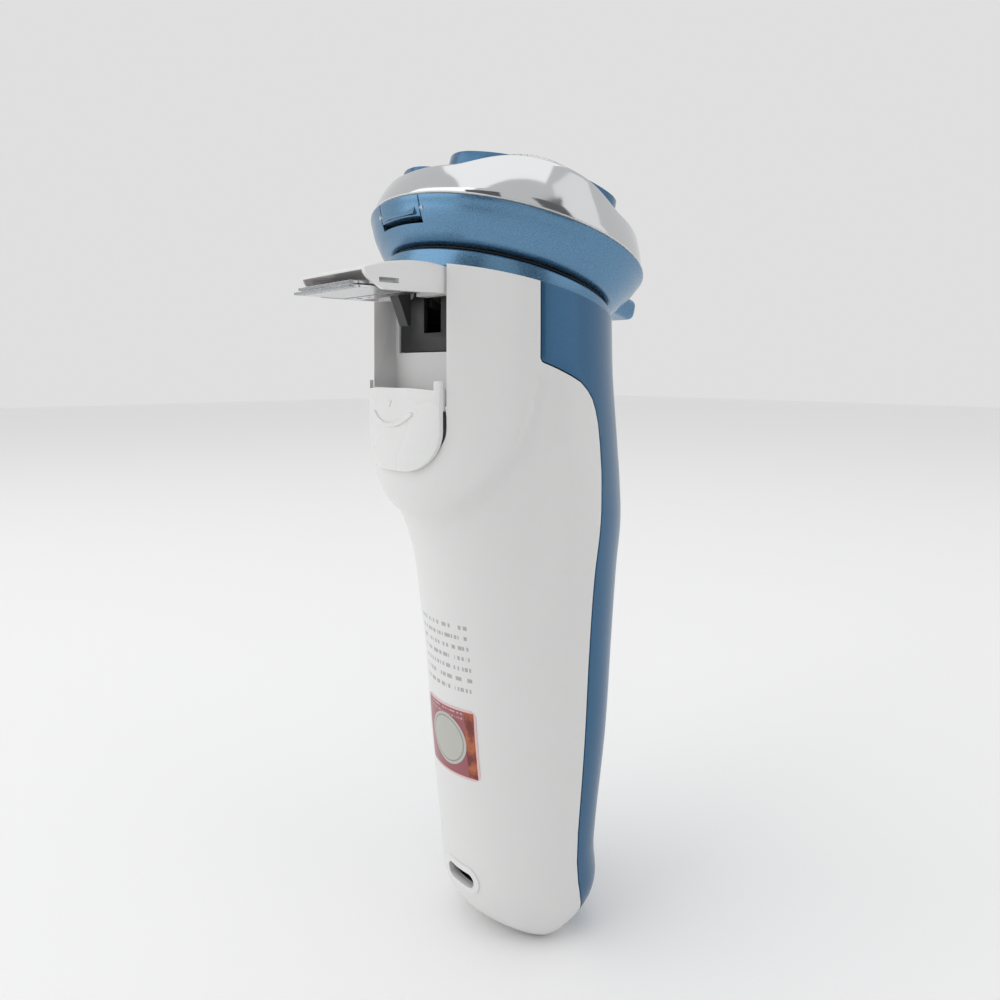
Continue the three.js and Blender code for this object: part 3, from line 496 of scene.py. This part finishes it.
white.set("Base Color", white.mix(print_mask * 0.75, (0.74, 0.74, 0.735), (0.30, 0.30, 0.31)))
white.on(rear)
fit_up(rear, "root", "white_shell", "rear_shell")

# ---- Front shell and silver inlay ----
# The front half of the handle in flake blue, screwed to the rear half from inside. A V-shaped silver plate is
# set flush into it under the collar and carries the power button.
front = handle_solid("front_cover")
carve(front, handle_solid("front_core", -2.0))
carve(front, seam_block("front_part", -1), "INTERSECT")
carve(front, neck_block("neck_cut"))


def inlay_outline(grow):
    right = []
    for i in range(25):
        t = i / 24
        depth = 137 - 63 * t
        swell = 1.4 * math.sin(math.pi * t) if t < 0.99 else 0
        right.append(((23.6 + grow) * (1 - t) ** 0.82 + swell, depth - grow * t))
    return [(-a, b) for a, b in right[::-1]] + right[:-1]


def skin(plate, low, high):
    """Trims a plate to a skin that follows the handle's form between two depths."""
    shell = handle_solid("skin", high)
    carve(shell, handle_solid("skin_core", low))
    carve(plate, shell, "INTERSECT")
    return plate


def inlay_plate(name, grow, low, high):
    return skin(slab(name, inlay_outline(grow), "Y", -60, -6), low, high)


carve(front, inlay_plate("inlay_bed", 0.15, -1.2, 1.0))
carve(front, bar("button_hole", "Y", (0, 103), 6.9, -60, -8))
carve(front, slab("lens_hole", rounded_outline(-1.5, 1.5, 81.7, 90.3, 1.45), "Y", -60, -8))
soften(front, 0.25)
shell_blue.on(front)
fit_up(front, "root", "blue_shell", "front_shell")

inlay = inlay_plate("silver_inlay", -0.1, -1.1, 0.12)
carve(inlay, neck_block("neck_cut"))
carve(inlay, bar("button_hole", "Y", (0, 103), 6.9, -60, -8))
carve(inlay, slab("lens_hole", rounded_outline(-1.5, 1.5, 81.7, 90.3, 1.45), "Y", -60, -8))
soften(inlay, 0.15)
silver = Finish("silver_lacquer", (0.52, 0.53, 0.545), 0.32, 0.75, Coat_Weight=0.3, Coat_Roughness=0.1)
silver.bump(silver.noise(3000, 1), 0.05, 0.0001)
silver.on(inlay)
fit_up(inlay, "root", "silver_trim", "front_inlay")

# ---- Power button and light guide ----
# A round push button with a dished face in a soft ring, and below it a clear lens over the charge light.


def turned(name, profile, steps=96, axis="Z", place=(0, 0, 0)):
    """A closed profile of (radius, height) pairs in millimetres, spun into a solid."""
    bpy.ops.object.select_all(action="DESELECT")
    bpy.ops.mesh.primitive_circle_add(vertices=len(profile), radius=1)
    ring = bpy.context.object
    ring.name = name
    for vertex, (radius, height) in zip(ring.data.vertices, profile):
        vertex.co = (radius * MM, 0, height * MM)
    bpy.ops.object.mode_set(mode="EDIT")
    bpy.ops.mesh.select_all(action="SELECT")
    bpy.ops.mesh.spin(steps=steps, angle=2 * math.pi, center=(0, 0, 0), axis=(0, 0, 1))
    bpy.ops.mesh.select_all(action="SELECT")
    bpy.ops.mesh.remove_doubles(threshold=1e-6)
    bpy.ops.mesh.dissolve_degenerate(threshold=1e-6)
    bpy.ops.mesh.select_all(action="SELECT")
    bpy.ops.mesh.normals_make_consistent(inside=False)
    bpy.ops.object.mode_set(mode="OBJECT")
    turn = {"Z": Matrix(), "Y": Matrix.Rotation(math.radians(90), 4, "X")}[axis]
    ring.data.transform(Matrix.Translation([value * MM for value in place]) @ turn)
    return ring


button = turned("push_button", [(0, 27.6), (2, 27.65), (4.2, 27.95), (5.4, 28.45), (6.0, 28.6), (6.4, 28.3),
                                (6.5, 27.7), (6.5, 25.4), (0, 25.4)], 72, "Y", (0, 0, 103))
soften(button, 0.15, 2, 50)
button_plastic = Finish("button_chrome", (0.62, 0.64, 0.66), 0.2, 0.9, Coat_Weight=0.2)
button_plastic.bump(button_plastic.noise(1800, 1), 0.04, 0.0001)
button_plastic.on(button)
fit_up(button, "power_button", "silver_trim", "power_button")

lens = skin(slab("charge_lens", rounded_outline(-1.3, 1.3, 81.9, 90.1, 1.28), "Y", -60, -8), -1.0, 0.1)
soften(lens, 0.12)
lens_finish = Finish("lens_frost", (0.78, 0.82, 0.84), 0.18, 0.0, Coat_Weight=0.6)
lens_finish.bump(lens_finish.noise(900, 1), 0.05, 0.0001)
lens_finish.on(lens)
fit_up(lens, "root", "lens_clear", "indicator_lens")

# ---- Rating label ----
# A printed foil label, wine red inside a thin pale border, with a plain silver disc and a strip of foil that
# shifts from red to copper along one side. It carries no lettering.
label = skin(slab("foil_label", rounded_outline(-8.6, 8.6, 30.2, 46.4, 1.6), "Y", 6, 60), -0.2, 0.12)
soften(label, 0.04, 1)
foil = Finish("label_foil", (0.30, 0.085, 0.105), 0.38, 0.25, Coat_Weight=0.4, Coat_Roughness=0.15)
lx, lz = foil.axis("X"), foil.axis("Z")
border = 1 - lx.size().under(0.0081) * (lz - 0.0383).size().under(0.0076)
rows = foil.node("ShaderNodeMath", {"operation": "WRAP"}, {0: lz, 1: 0.0011, 2: 0.0})
marks = foil.node("ShaderNodeTexNoise", {"noise_dimensions": "2D"}, {
    "Vector": foil.node("ShaderNodeCombineXYZ", {}, {
        0: lx * 1900, 1: foil.node("ShaderNodeMath", {"operation": "FLOOR"}, {0: lz * (1 / 0.0011)}) * 5.1}),
    "Scale": 1.0, "Detail": 0.0})
fine = rows.under(0.0004) * marks.over(0.5) * (lz - 0.0446).size().under(0.0011) * lx.size().under(0.006)
strip = lx.under(-0.0058)
sheen = foil.ramp(foil.noise(420, 3), 0.35, 0.65, 0, 1)
holo = foil.mix(sheen, (0.16, 0.02, 0.02), (0.45, 0.12, 0.04))
wine = foil.mix(foil.noise(60, 2) * 0.35, (0.29, 0.075, 0.095), (0.36, 0.12, 0.14))
wine = foil.mix(fine * 0.6, wine, (0.7, 0.5, 0.5))
foil.set("Base Color", foil.mix(border, foil.mix(strip, wine, holo), (0.72, 0.50, 0.50)))
foil.bump(foil.noise(1500, 1), 0.03, 0.0001)
foil.on(label)
fit_up(label, "root", "label_plum", "rating_label")

disc_outline = arc(0, 38.3, 5.9, 0, 354, 59)
disc = skin(slab("silver_disc", disc_outline, "Y", 6, 60), 0.02, 0.2)
soften(disc, 0.04, 1)
disc_foil = Finish("disc_foil", (0.50, 0.50, 0.46), 0.34, 0.7)
dx, dz = disc_foil.axis("X"), disc_foil.axis("Z") - 0.0383
reach = disc_foil.node("ShaderNodeMath", {"operation": "SQRT"}, {0: dx * dx + dz * dz})
grooves = disc_foil.node("ShaderNodeMath", {"operation": "SINE"}, {0: reach * 21000})
ring_line = reach.over(0.0050) * reach.under(0.0053)
disc_foil.set("Base Color", disc_foil.mix(ring_line * 0.7, (0.52, 0.52, 0.48), (0.22, 0.20, 0.19)))
disc_foil.bump(grooves, 0.15, 0.00005)
disc_foil.on(disc)
fit_up(disc, "root", "label_silver", "label_disc")

# ---- Charging port ----
# A two-pin inlet at the foot: a bevelled white rim round a deep oval mouth, with the socket's metal throat
# inside. The rim is pressed into the shell.
rim = skin(slab("port_rim", rounded_outline(-5.9, 5.9, 2.4, 8.4, 2.95, 12), "Y", 4, 30), -1.2, 0.3)
carve(rim, slab("port_throat", rounded_outline(-4.55, 4.55, 3.75, 7.05, 1.64, 12), "Y", 2, 30))
soften(rim, 0.28, 3)
# This white also colours the thin ring under the chrome band, which is a painted highlight line.
rim_and_highlight_white = white_plastic("port_and_highlight_white", (0.76, 0.76, 0.755), 0.28)
rim_and_highlight_white.on(rim)
fit_up(rim, "root", "white_shell")

steel = Finish("brushed_steel", (0.56, 0.57, 0.58), 0.3, 1.0)
steel_noise = steel.node("ShaderNodeTexNoise", {}, {
    "Vector": steel.node("ShaderNodeMapping", {}, {"Vector": steel.place, "Scale": (120, 3000, 3000)}),
    "Scale": 1.0, "Detail": 2.0})
steel.set("Roughness", steel.ramp(steel_noise, 0.3, 0.7, 0.22, 0.38))
steel.bump(steel_noise, 0.12, 0.00006)


def repaint(finish, *nodes):
    """Gives the frame's own parts a finish."""
    for node in nodes:
        for slot in bpy.data.objects[node].material_slots:
            slot.material = finish.material


repaint(steel, "charging_socket", "shell_screw_1", "shell_screw_2", "trimmer_pin", "slider_spring",
        "bowl_screw", "head_hinge_pin", "motor_shaft", "motor")

# ---- Release slider ----
# The white tab below the trimmer, pushed down to free it. A smile-shaped ridge gives the thumb its grip, and
# a small arrow is moulded above it.
tab_outline = [(-13.5, 119.9)] + arc(-4.5, 109.7, 9, 180, 270, 16) + arc(4.5, 109.7, 9, -90, 0, 16) + [
    (13.5, 119.9), (12.1, 119.9), (9.7, 118.4), (-9.7, 118.4), (-12.1, 119.9)]
tab_outline = tab_outline[::-1]
tab = skin(slab("thumb_tab", tab_outline, "Y", 15, 40), 0.32, 1.15)
insert = slab("tab_insert", rounded_outline(-13.4, 13.4, 113.5, 118.3, 0.5), "Y", 24.9, 34)
carve(insert, handle_solid("insert_form", 1.0), "INTERSECT")
carve(tab, insert, "UNION")
ridge = arc(0, 121.2, 11.2, -132, -48, 24) + arc(0, 121.5, 10.7, -50, -130, 24)
grip = skin(slab("smile_ridge", ridge, "Y", 15, 40), 1.0, 1.5)
carve(tab, grip, "UNION")
arrow = skin(slab("tab_arrow", [(-0.9, 115.6), (0, 114.3), (0.9, 115.6)], "Y", 15, 40), 1.0, 1.3)
carve(tab, arrow, "UNION")
carve(tab, bar("swing_scoop", "X", (25.7, 141.2), 23.55, -12.3, 12.3, 128))
carve(tab, bar("spring_pocket", "Z", (0, 27.2), 2.6, 100, 115.2, 32))
soften(tab, 0.3, 3)
tab_white = white_plastic("tab_white", (0.76, 0.76, 0.755), 0.26)
tab_white.on(tab)
fit_up(tab, "trimmer_slider", "white_shell", "trimmer_slider")

# ---- Trimmer ----
# A hinged beard trimmer, shown swung out. A white crown covers a fixed steel comb and the blade that strokes
# across it; a black lever at its root takes the drive when it is folded out.
HINGE_Y, HINGE_Z = 25.7, 141.2


def curve_to(start, control, end, steps=10):
    points = []
    for i in range(1, steps + 1):
        t = i / steps
        points.append(tuple((1 - t) ** 2 * a + 2 * t * (1 - t) * b + t * t * c
                            for a, b, c in zip(start, control, end)))
    return points


crown = [(24.2, 138), (42.2, 138), (45.5, 140.0), (46.3, 140.9), (46.6, 142.2)]
crown += curve_to((46.6, 142.2), (37.7, 144.8), (30.1, 144.2))
crown += curve_to((30.1, 144.2), (27.2, 143.9), (25.7, 143.4), 4)
crown += curve_to((25.7, 143.4), (23.5, 142.8), (23.5, 140.6), 6)
crown += curve_to((23.5, 140.6), (23.5, 138.8), (24.2, 138), 5)[:-1]
housing = slab("trimmer_crown", crown, "X", -13.3, 13.3)
soften(housing, 0.45, 3, 25)
carve(housing, slab("crown_hollow", [(27.5, 136), (50, 136), (50, 141.5), (27.5, 142.1)], "X", -12, 12))
carve(housing, block("drive_slot", (-15, 38.7, 139.3), (15, 43.3, 140.3)))
carve(housing, bar("pin_bore", "X", (HINGE_Y, HINGE_Z), 0.97, -20, 20, 32))
carve(housing, block("lever_bay", (-3.2, 19.7, 135.2), (3.2, 28.7, 142.1)))
soften(housing, 0.12, 1, 60)
crown_white = white_plastic("crown_white", (0.77, 0.77, 0.765), 0.24)
crown_white.on(housing)
fit_up(housing, "trimmer", "white_shell", "trimmer_housing")


def toothed(name, half, back, tip, low, high, teeth, depth):
    """A steel plate whose front edge is ground into teeth."""
    pitch = 2 * half / teeth
    outline = [(half, back)]
    for i in range(teeth):
        x = half - i * pitch
        outline += [(x - 0.04 * pitch, tip - depth), (x - 0.2 * pitch, tip - 0.2), (x - 0.32 * pitch, tip),
                    (x - 0.44 * pitch, tip - 0.2), (x - 0.6 * pitch, tip - depth)]
    outline += [(-half, tip - depth), (-half, back)]
    return slab(name, outline[::-1], "Z", low, high)


comb = toothed("fixed_comb", 11.7, 36.7, 48.9, 138.1, 138.7, 25, 2.3)
soften(comb, 0.05, 1)
blade = toothed("stroke_blade", 10.9, 38.7, 48.3, 139.0, 139.6, 24, 2.0)
tongue = block("blade_tongue", (-2.4, 32.7, 139.0), (2.4, 39.1, 139.6))
carve(blade, tongue, "UNION")
soften(blade, 0.05, 1)
blade_steel = Finish("blade_steel", (0.60, 0.61, 0.62), 0.24, 1.0)
streak = blade_steel.node("ShaderNodeTexNoise", {}, {
    "Vector": blade_steel.node("ShaderNodeMapping", {}, {
        "Vector": blade_steel.place, "Scale": (4000, 150, 150)}),
    "Scale": 1.0, "Detail": 2.0})
blade_steel.set("Roughness", blade_steel.ramp(streak, 0.3, 0.7, 0.16, 0.32))
blade_steel.bump(streak, 0.12, 0.00005)
for plate in (comb, blade):
    blade_steel.on(plate)
fit_up(comb, "trimmer", "steel", "trimmer_comb")
fit_up(blade, "trimmer_blade", "steel", "trimmer_blade")
repaint(blade_steel, "trimmer_base")

black = Finish("black_plastic", (0.018, 0.018, 0.02), 0.42)
black.set("Roughness", black.ramp(black.noise(60, 3), 0.3, 0.7, 0.36, 0.5))
black.bump(black.noise(2400, 2), 0.1, 0.00015)
panel = block("bay_back", (-12.5, 19.75, 126.4), (12.5, 20.95, 141.5))
carve(panel, block("lever_window", (-3.2, 12, 130.6), (3.2, 30, 141.3)))
soften(panel, 0.15)
black.on(panel)
fit_up(panel, "root", "black_plastic", "bay_panel")
repaint(black, "drive_lever", "chassis", "gear_plate", "retaining_frame", "frame_knob", "drive_spindle_1",
        "drive_spindle_2", "drive_spindle_3")

# ---- Collar, seal and hair bowl ----
# The blue collar closes the neck, a black rubber ring seals it, and the bowl above catches the hair. The bowl
# flares outwards and has a squared chin at the front that holds the release button.
TILT_COS, TILT_SIN = 0.95882, 0.284015
HEAD = Matrix(((1, 0, 0, 0), (0, TILT_COS, -TILT_SIN, 0.0013), (0, TILT_SIN, TILT_COS, 0.1417), (0, 0, 0, 1)))


def seat(piece):
    """Moves a piece modelled on the head's own axis to its place on the tilted neck."""
    piece.data.transform(HEAD)
    return piece


collar = seat(turned("neck_ring", [(24.8, -14), (27.4, -14), (27.4, -1.3), (27.15, -0.9), (24.8, -0.9)], 160))
carve(collar, neck_block("neck_top", 0.15), "INTERSECT")
soften(collar, 0.2, 2, 40)
head_blue.on(collar)
fit_up(collar, "root", "blue_head", "neck_collar")

seal = seat(turned("rubber_seal", [(24.8, -0.62), (26.2, -0.62), (26.5, -0.4), (26.5, -0.2), (26.2, 0),
                                   (24.8, 0)], 128))
bpy.ops.object.select_all(action="DESELECT")
seal.select_set(True)
bpy.context.view_layer.objects.active = seal
bpy.ops.object.shade_smooth_by_angle(angle=math.radians(40))
rubber = Finish("seal_rubber", (0.012, 0.012, 0.013), 0.7)
rubber.bump(rubber.noise(1500, 3), 0.2, 0.0002)
rubber.on(seal)
fit_up(seal, "root", "seal_rubber", "neck_seal")

outside = [(27.4, 0.3)]
outside += curve_to((27.4, 0.3), (28.9, 1.0), (29.9, 2.6), 5)
outside += curve_to((29.9, 2.6), (31.9, 5.0), (32.6, 7.0), 6)
outside += curve_to((32.6, 7.0), (33.2, 7.9), (33.4, 8.6), 3)
bowl = turned("hair_bowl", [(3, 0.3)] + outside + [(31.5, 8.6), (30.6, 6.6), (28.2, 3.3), (27, 2.3), (3, 2.3)],
              160)
chin = block("chin", (-13.6, -35.4, 3.2), (13.6, -24, 8.6))
soften(chin, 1.8, 5, 60)
room = turned("bowl_room", [(0, 2.3), (27, 2.3), (28.2, 3.3), (30.6, 6.6), (31.5, 8.7), (31.5, 12), (0, 12)],
              96)
carve(chin, room)
carve(bowl, chin, "UNION")
carve(bowl, block("button_pocket", (-11, -40, 4.1), (11, -32.1, 8.2)))
carve(bowl, block("hinge_notch", (-7.5, 27.4, 3.4), (7.5, 40, 12)))
for spot in (150, 30, 270):
    sx, sy = 15.8 * math.cos(math.radians(spot)), 15.8 * math.sin(math.radians(spot))
    carve(bowl, bar("spindle_hole", "Z", (sx, sy), 2.5, -2, 4, 32))
carve(bowl, bar("screw_hole", "Z", (0, 0), 1.6, -2, 4, 32))
soften(bowl, 0.35, 3, 32)
seat(bowl)
head_blue.on(bowl)
fit_up(bowl, "root", "blue_head", "head_bowl")

tail = turned("hinge_tail", outside + [(32.0, 8.6), (31.4, 6.9), (29.0, 3.6)], 160)
carve(tail, block("tail_span", (-7.2, 29.4, 4.6), (7.2, 40, 8.6)), "INTERSECT")
soften(tail, 0.15, 2, 40)
seat(tail)
head_blue.on(tail)
fit_up(tail, "shaving_unit", "blue_head")

release = block("release_bar", (-10.6, -36.3, 4.4), (10.6, -33.5, 7.9))
soften(release, 0.6, 4, 60)
for i in range(5):
    carve(release, block("rib_gap", (-6.2 + i * 3.1 - 0.25, -37, 5.1), (-6.2 + i * 3.1 + 0.25, -36.05, 7.2)))
seat(release)
black.on(release)
fit_up(release, "release_button", "black_plastic", "release_button")

# ---- Chrome band ----
# A polished plated ring, three-lobed like the heads it carries. Its upper edge rises at each head. Under it
# run a shadow gap and a thin white ring, a painted highlight line made in white plastic.


def band_point(turn, share, inset, foot=9.2):
    wave = math.cos(3 * (turn - math.radians(150)))
    hump = min(max((wave + 0.35) / 1.35, 0), 1)
    hump = smooth(hump) * 0.5 + hump * 0.5
    top = 16.6 + 3.4 * hump
    bulge = 0.3 * math.sin(math.pi * share)
    low, high = 33.2 + 0.5 * wave, 31.4 + 0.8 * wave
    radius = low + (high - low) * share + bulge - inset
    return radius, foot + (top - foot) * share


LEVELS = (0, 0.06, 0.14, 0.24, 0.36, 0.48, 0.6, 0.72, 0.82, 0.9, 0.955, 0.985, 1)
BAND_WALL = 1.5
marks_out = [(10 + i, 0) for i in range(len(LEVELS))]
marks_in = [(40 + i, 0) for i in range(len(LEVELS))][::-1]
band = turned("chrome_ring", marks_out + marks_in, 180)
for vertex in band.data.vertices:
    mark = round(vertex.co.xy.length / MM)
    turn = math.atan2(vertex.co.y, vertex.co.x)
    level, wall = (mark - 10, 0) if mark < 40 else (mark - 40, BAND_WALL)
    share = LEVELS[level]
    rounding = 0.3 * max(0, (share - 0.95) / 0.05) ** 2 + 0.2 * (share == 0)
    radius, height = band_point(turn, share, wall + (rounding if wall == 0 else 0))
    vertex.co = (radius * math.cos(turn) * MM, radius * math.sin(turn) * MM, height * MM)
bpy.ops.object.select_all(action="DESELECT")
band.select_set(True)
bpy.context.view_layer.objects.active = band
bpy.ops.object.mode_set(mode="EDIT")
bpy.ops.mesh.select_all(action="SELECT")
bpy.ops.mesh.normals_make_consistent(inside=False)
bpy.ops.object.mode_set(mode="OBJECT")
bpy.ops.object.shade_smooth_by_angle(angle=math.radians(40))
seat(band)
chrome = Finish("bright_plate", (0.60, 0.61, 0.62), 0.1, 1.0)
chrome.set("Roughness", chrome.ramp(chrome.noise(45, 3), 0.3, 0.7, 0.07, 0.15))
chrome.bump(chrome.noise(160, 2), 0.02, 0.0004)
chrome.on(band)
fit_up(band, "shaving_unit", "chrome", "chrome_band")

# A thin white ring at the seam between the chrome band and the bowl: a painted highlight line, made in the
# port rim's white plastic.
highlight_ring = turned("painted_highlight_ring", [(31.4, 8.95), (33.0, 8.95), (33.25, 9.05), (33.3, 9.2), (33.2, 9.34), (32.9, 9.4),
                            (31.4, 9.4)], 160)
highlight_ring.data.transform(HEAD)
bpy.ops.object.select_all(action="DESELECT")
highlight_ring.select_set(True)
bpy.context.view_layer.objects.active = highlight_ring
bpy.ops.object.shade_smooth_by_angle(angle=math.radians(50))
rim_and_highlight_white.on(highlight_ring)
fit_up(highlight_ring, "shaving_unit", "white_shell")

# ---- Head frame ----
# The moulded frame inside the band carries the three heads and hooks under the bowl's rear pin. It is blue
# like the bowl.
repaint(head_blue, "head_frame")

# ---- Caps, guards and cutters ----
# Three rounded blue caps float in the band. Each carries a steel guard with fine slots round its face, and a
# steel cutter spins under it.
SPREAD = math.radians(58)


def cap_outline(turn, radius, gap, corner=8, nose=4):
    reach = radius - corner
    bend = SPREAD - math.asin((corner + gap) / reach)
    nose_reach = (nose + gap) / math.sin(SPREAD)
    points = []

    def sweep(centre, size, start, end, steps):
        for i in range(steps + 1):
            t = start + (end - start) * i / steps
            points.append((centre[0] + size * math.cos(t), centre[1] + size * math.sin(t)))

    sweep((0, 0), radius, turn - bend, turn + bend, 20)
    sweep((reach * math.cos(turn + bend), reach * math.sin(turn + bend)), corner, turn + bend,
          turn + SPREAD + math.pi / 2, 12)
    sweep((nose_reach * math.cos(turn), nose_reach * math.sin(turn)), nose, turn + SPREAD + math.pi / 2,
          turn + 2 * math.pi - SPREAD - math.pi / 2, 10)
    sweep((reach * math.cos(turn - bend), reach * math.sin(turn - bend)), corner, turn - SPREAD - math.pi / 2,
          turn - bend, 12)
    return points


cap_blue = metallic_blue("cap_blue", (0.03, 0.11, 0.22), (0.07, 0.2, 0.34), 0.28, 0.7)
guard_steel = Finish("guard_steel", (0.58, 0.585, 0.59), 0.22, 1.0)
guard_steel.set("Roughness", guard_steel.ramp(guard_steel.noise(220, 3), 0.3, 0.7, 0.16, 0.3))
guard_steel.bump(guard_steel.noise(700, 2), 0.05, 0.0001)
GUARD = 10.83
for number, degrees in enumerate((150, 30, 270), 1):
    turn = math.radians(degrees)
    cx, cy = 15.8 * math.cos(turn), 15.8 * math.sin(turn)
    outline = cap_outline(turn, 28.6, 0.5)
    cap = slab(f"shaver_cap_{number}", outline, "Z", 16.4, 22.4)
    soften(cap, 0.5, 2, 40)
    carve(cap, turned("cap_dome", [(0, 15), (40, 15), (40, 19.5), (30, 20.7), (27.5, 21.1), (24, 21.4),
                                   (18, 21.65), (0, 21.8)], 96), "INTERSECT")
    carve(cap, bar("guard_bore", "Z", (cx, cy), 11.0, 10, 30, 96))
    carve(cap, bar("flange_bore", "Z", (cx, cy), 11.9, 10, 17.4, 96))
    soften(cap, 0.45, 3, 30)
    seat(cap)
    cap_blue.on(cap)
    fit_up(cap, f"head_{number}", "blue_head", f"head_cap_{number}")

    shell = [(10.0, 13.3), (11.7, 13.3), (11.7, 17.2), (GUARD, 17.2), (GUARD, 22.3), (10.6, 22.9),
             (10.1, 23.3), (9.4, 23.4), (8.6, 23.35), (7.9, 23.05), (7.1, 23.3), (6.2, 23.4),
             (5.2, 23.35), (4.6, 23.1), (4.2, 22.75), (0, 22.7), (0, 21.9), (9.3, 22.2), (10.0, 21.9)]
    guard = turned(f"slotted_guard_{number}", shell, 96)
    comb_tool = None
    for i in range(45):
        slot = block("slot", (4.9, -0.16, 21), (7.7, 0.16, 25))
        outer = block("slot_outer", (8.2, -0.17, 20.6), (GUARD + 1, 0.17, 25))
        bpy.ops.object.select_all(action="DESELECT")
        slot.select_set(True)
        outer.select_set(True)
        bpy.context.view_layer.objects.active = slot
        bpy.ops.object.join()
        slot.data.transform(Matrix.Rotation(2 * math.pi * i / 45, 4, "Z"))
        if comb_tool is None:
            comb_tool = slot
        else:
            bpy.ops.object.select_all(action="DESELECT")
            slot.select_set(True)
            comb_tool.select_set(True)
            bpy.context.view_layer.objects.active = comb_tool
            bpy.ops.object.join()
    carve(guard, comb_tool)
    bpy.ops.object.select_all(action="DESELECT")
    guard.select_set(True)
    bpy.context.view_layer.objects.active = guard
    bpy.ops.object.shade_smooth_by_angle(angle=math.radians(35))
    guard.data.transform(Matrix.Translation((cx * MM, cy * MM, 0)))
    seat(guard)
    guard_steel.on(guard)
    fit_up(guard, f"head_{number}", "steel", f"guard_{number}")
    repaint(blade_steel, f"cutter_{number}")

# ---- Works inside ----
# Nylon gears, a steel-cased motor, a wrapped cell and a green board, seen only when the shaver is opened.
ivory = Finish("gear_nylon", (0.72, 0.67, 0.53), 0.45, 0.0, Subsurface_Weight=0.1, Subsurface_Scale=0.002)
ivory.set("Base Color", ivory.mix(ivory.noise(90, 3) * 0.5, (0.74, 0.69, 0.55), (0.64, 0.58, 0.44)))
ivory.bump(ivory.noise(1800, 2), 0.08, 0.0001)
repaint(ivory, "central_gear", "drive_gear_1", "drive_gear_2", "drive_gear_3")
wrap = Finish("cell_wrap", (0.03, 0.22, 0.09), 0.3, 0.0, Coat_Weight=0.4, Coat_Roughness=0.1)
wrap.set("Base Color", wrap.mix(wrap.noise(70, 3) * 0.6, (0.03, 0.22, 0.09), (0.05, 0.3, 0.13)))
wrap.bump(wrap.noise(400, 2), 0.08, 0.0002)
repaint(wrap, "battery")
board = Finish("board_mask", (0.02, 0.16, 0.06), 0.35)
tracks = board.node("ShaderNodeTexVoronoi", {"distance": "CHEBYCHEV"},
                    {"Vector": board.place, "Scale": 420.0}, 0)
board.set("Base Color", board.mix(tracks.over(0.42) * 0.7, (0.015, 0.13, 0.05), (0.05, 0.27, 0.11)))
board.bump(tracks, 0.15, 0.0001)
repaint(board, "circuit_board")
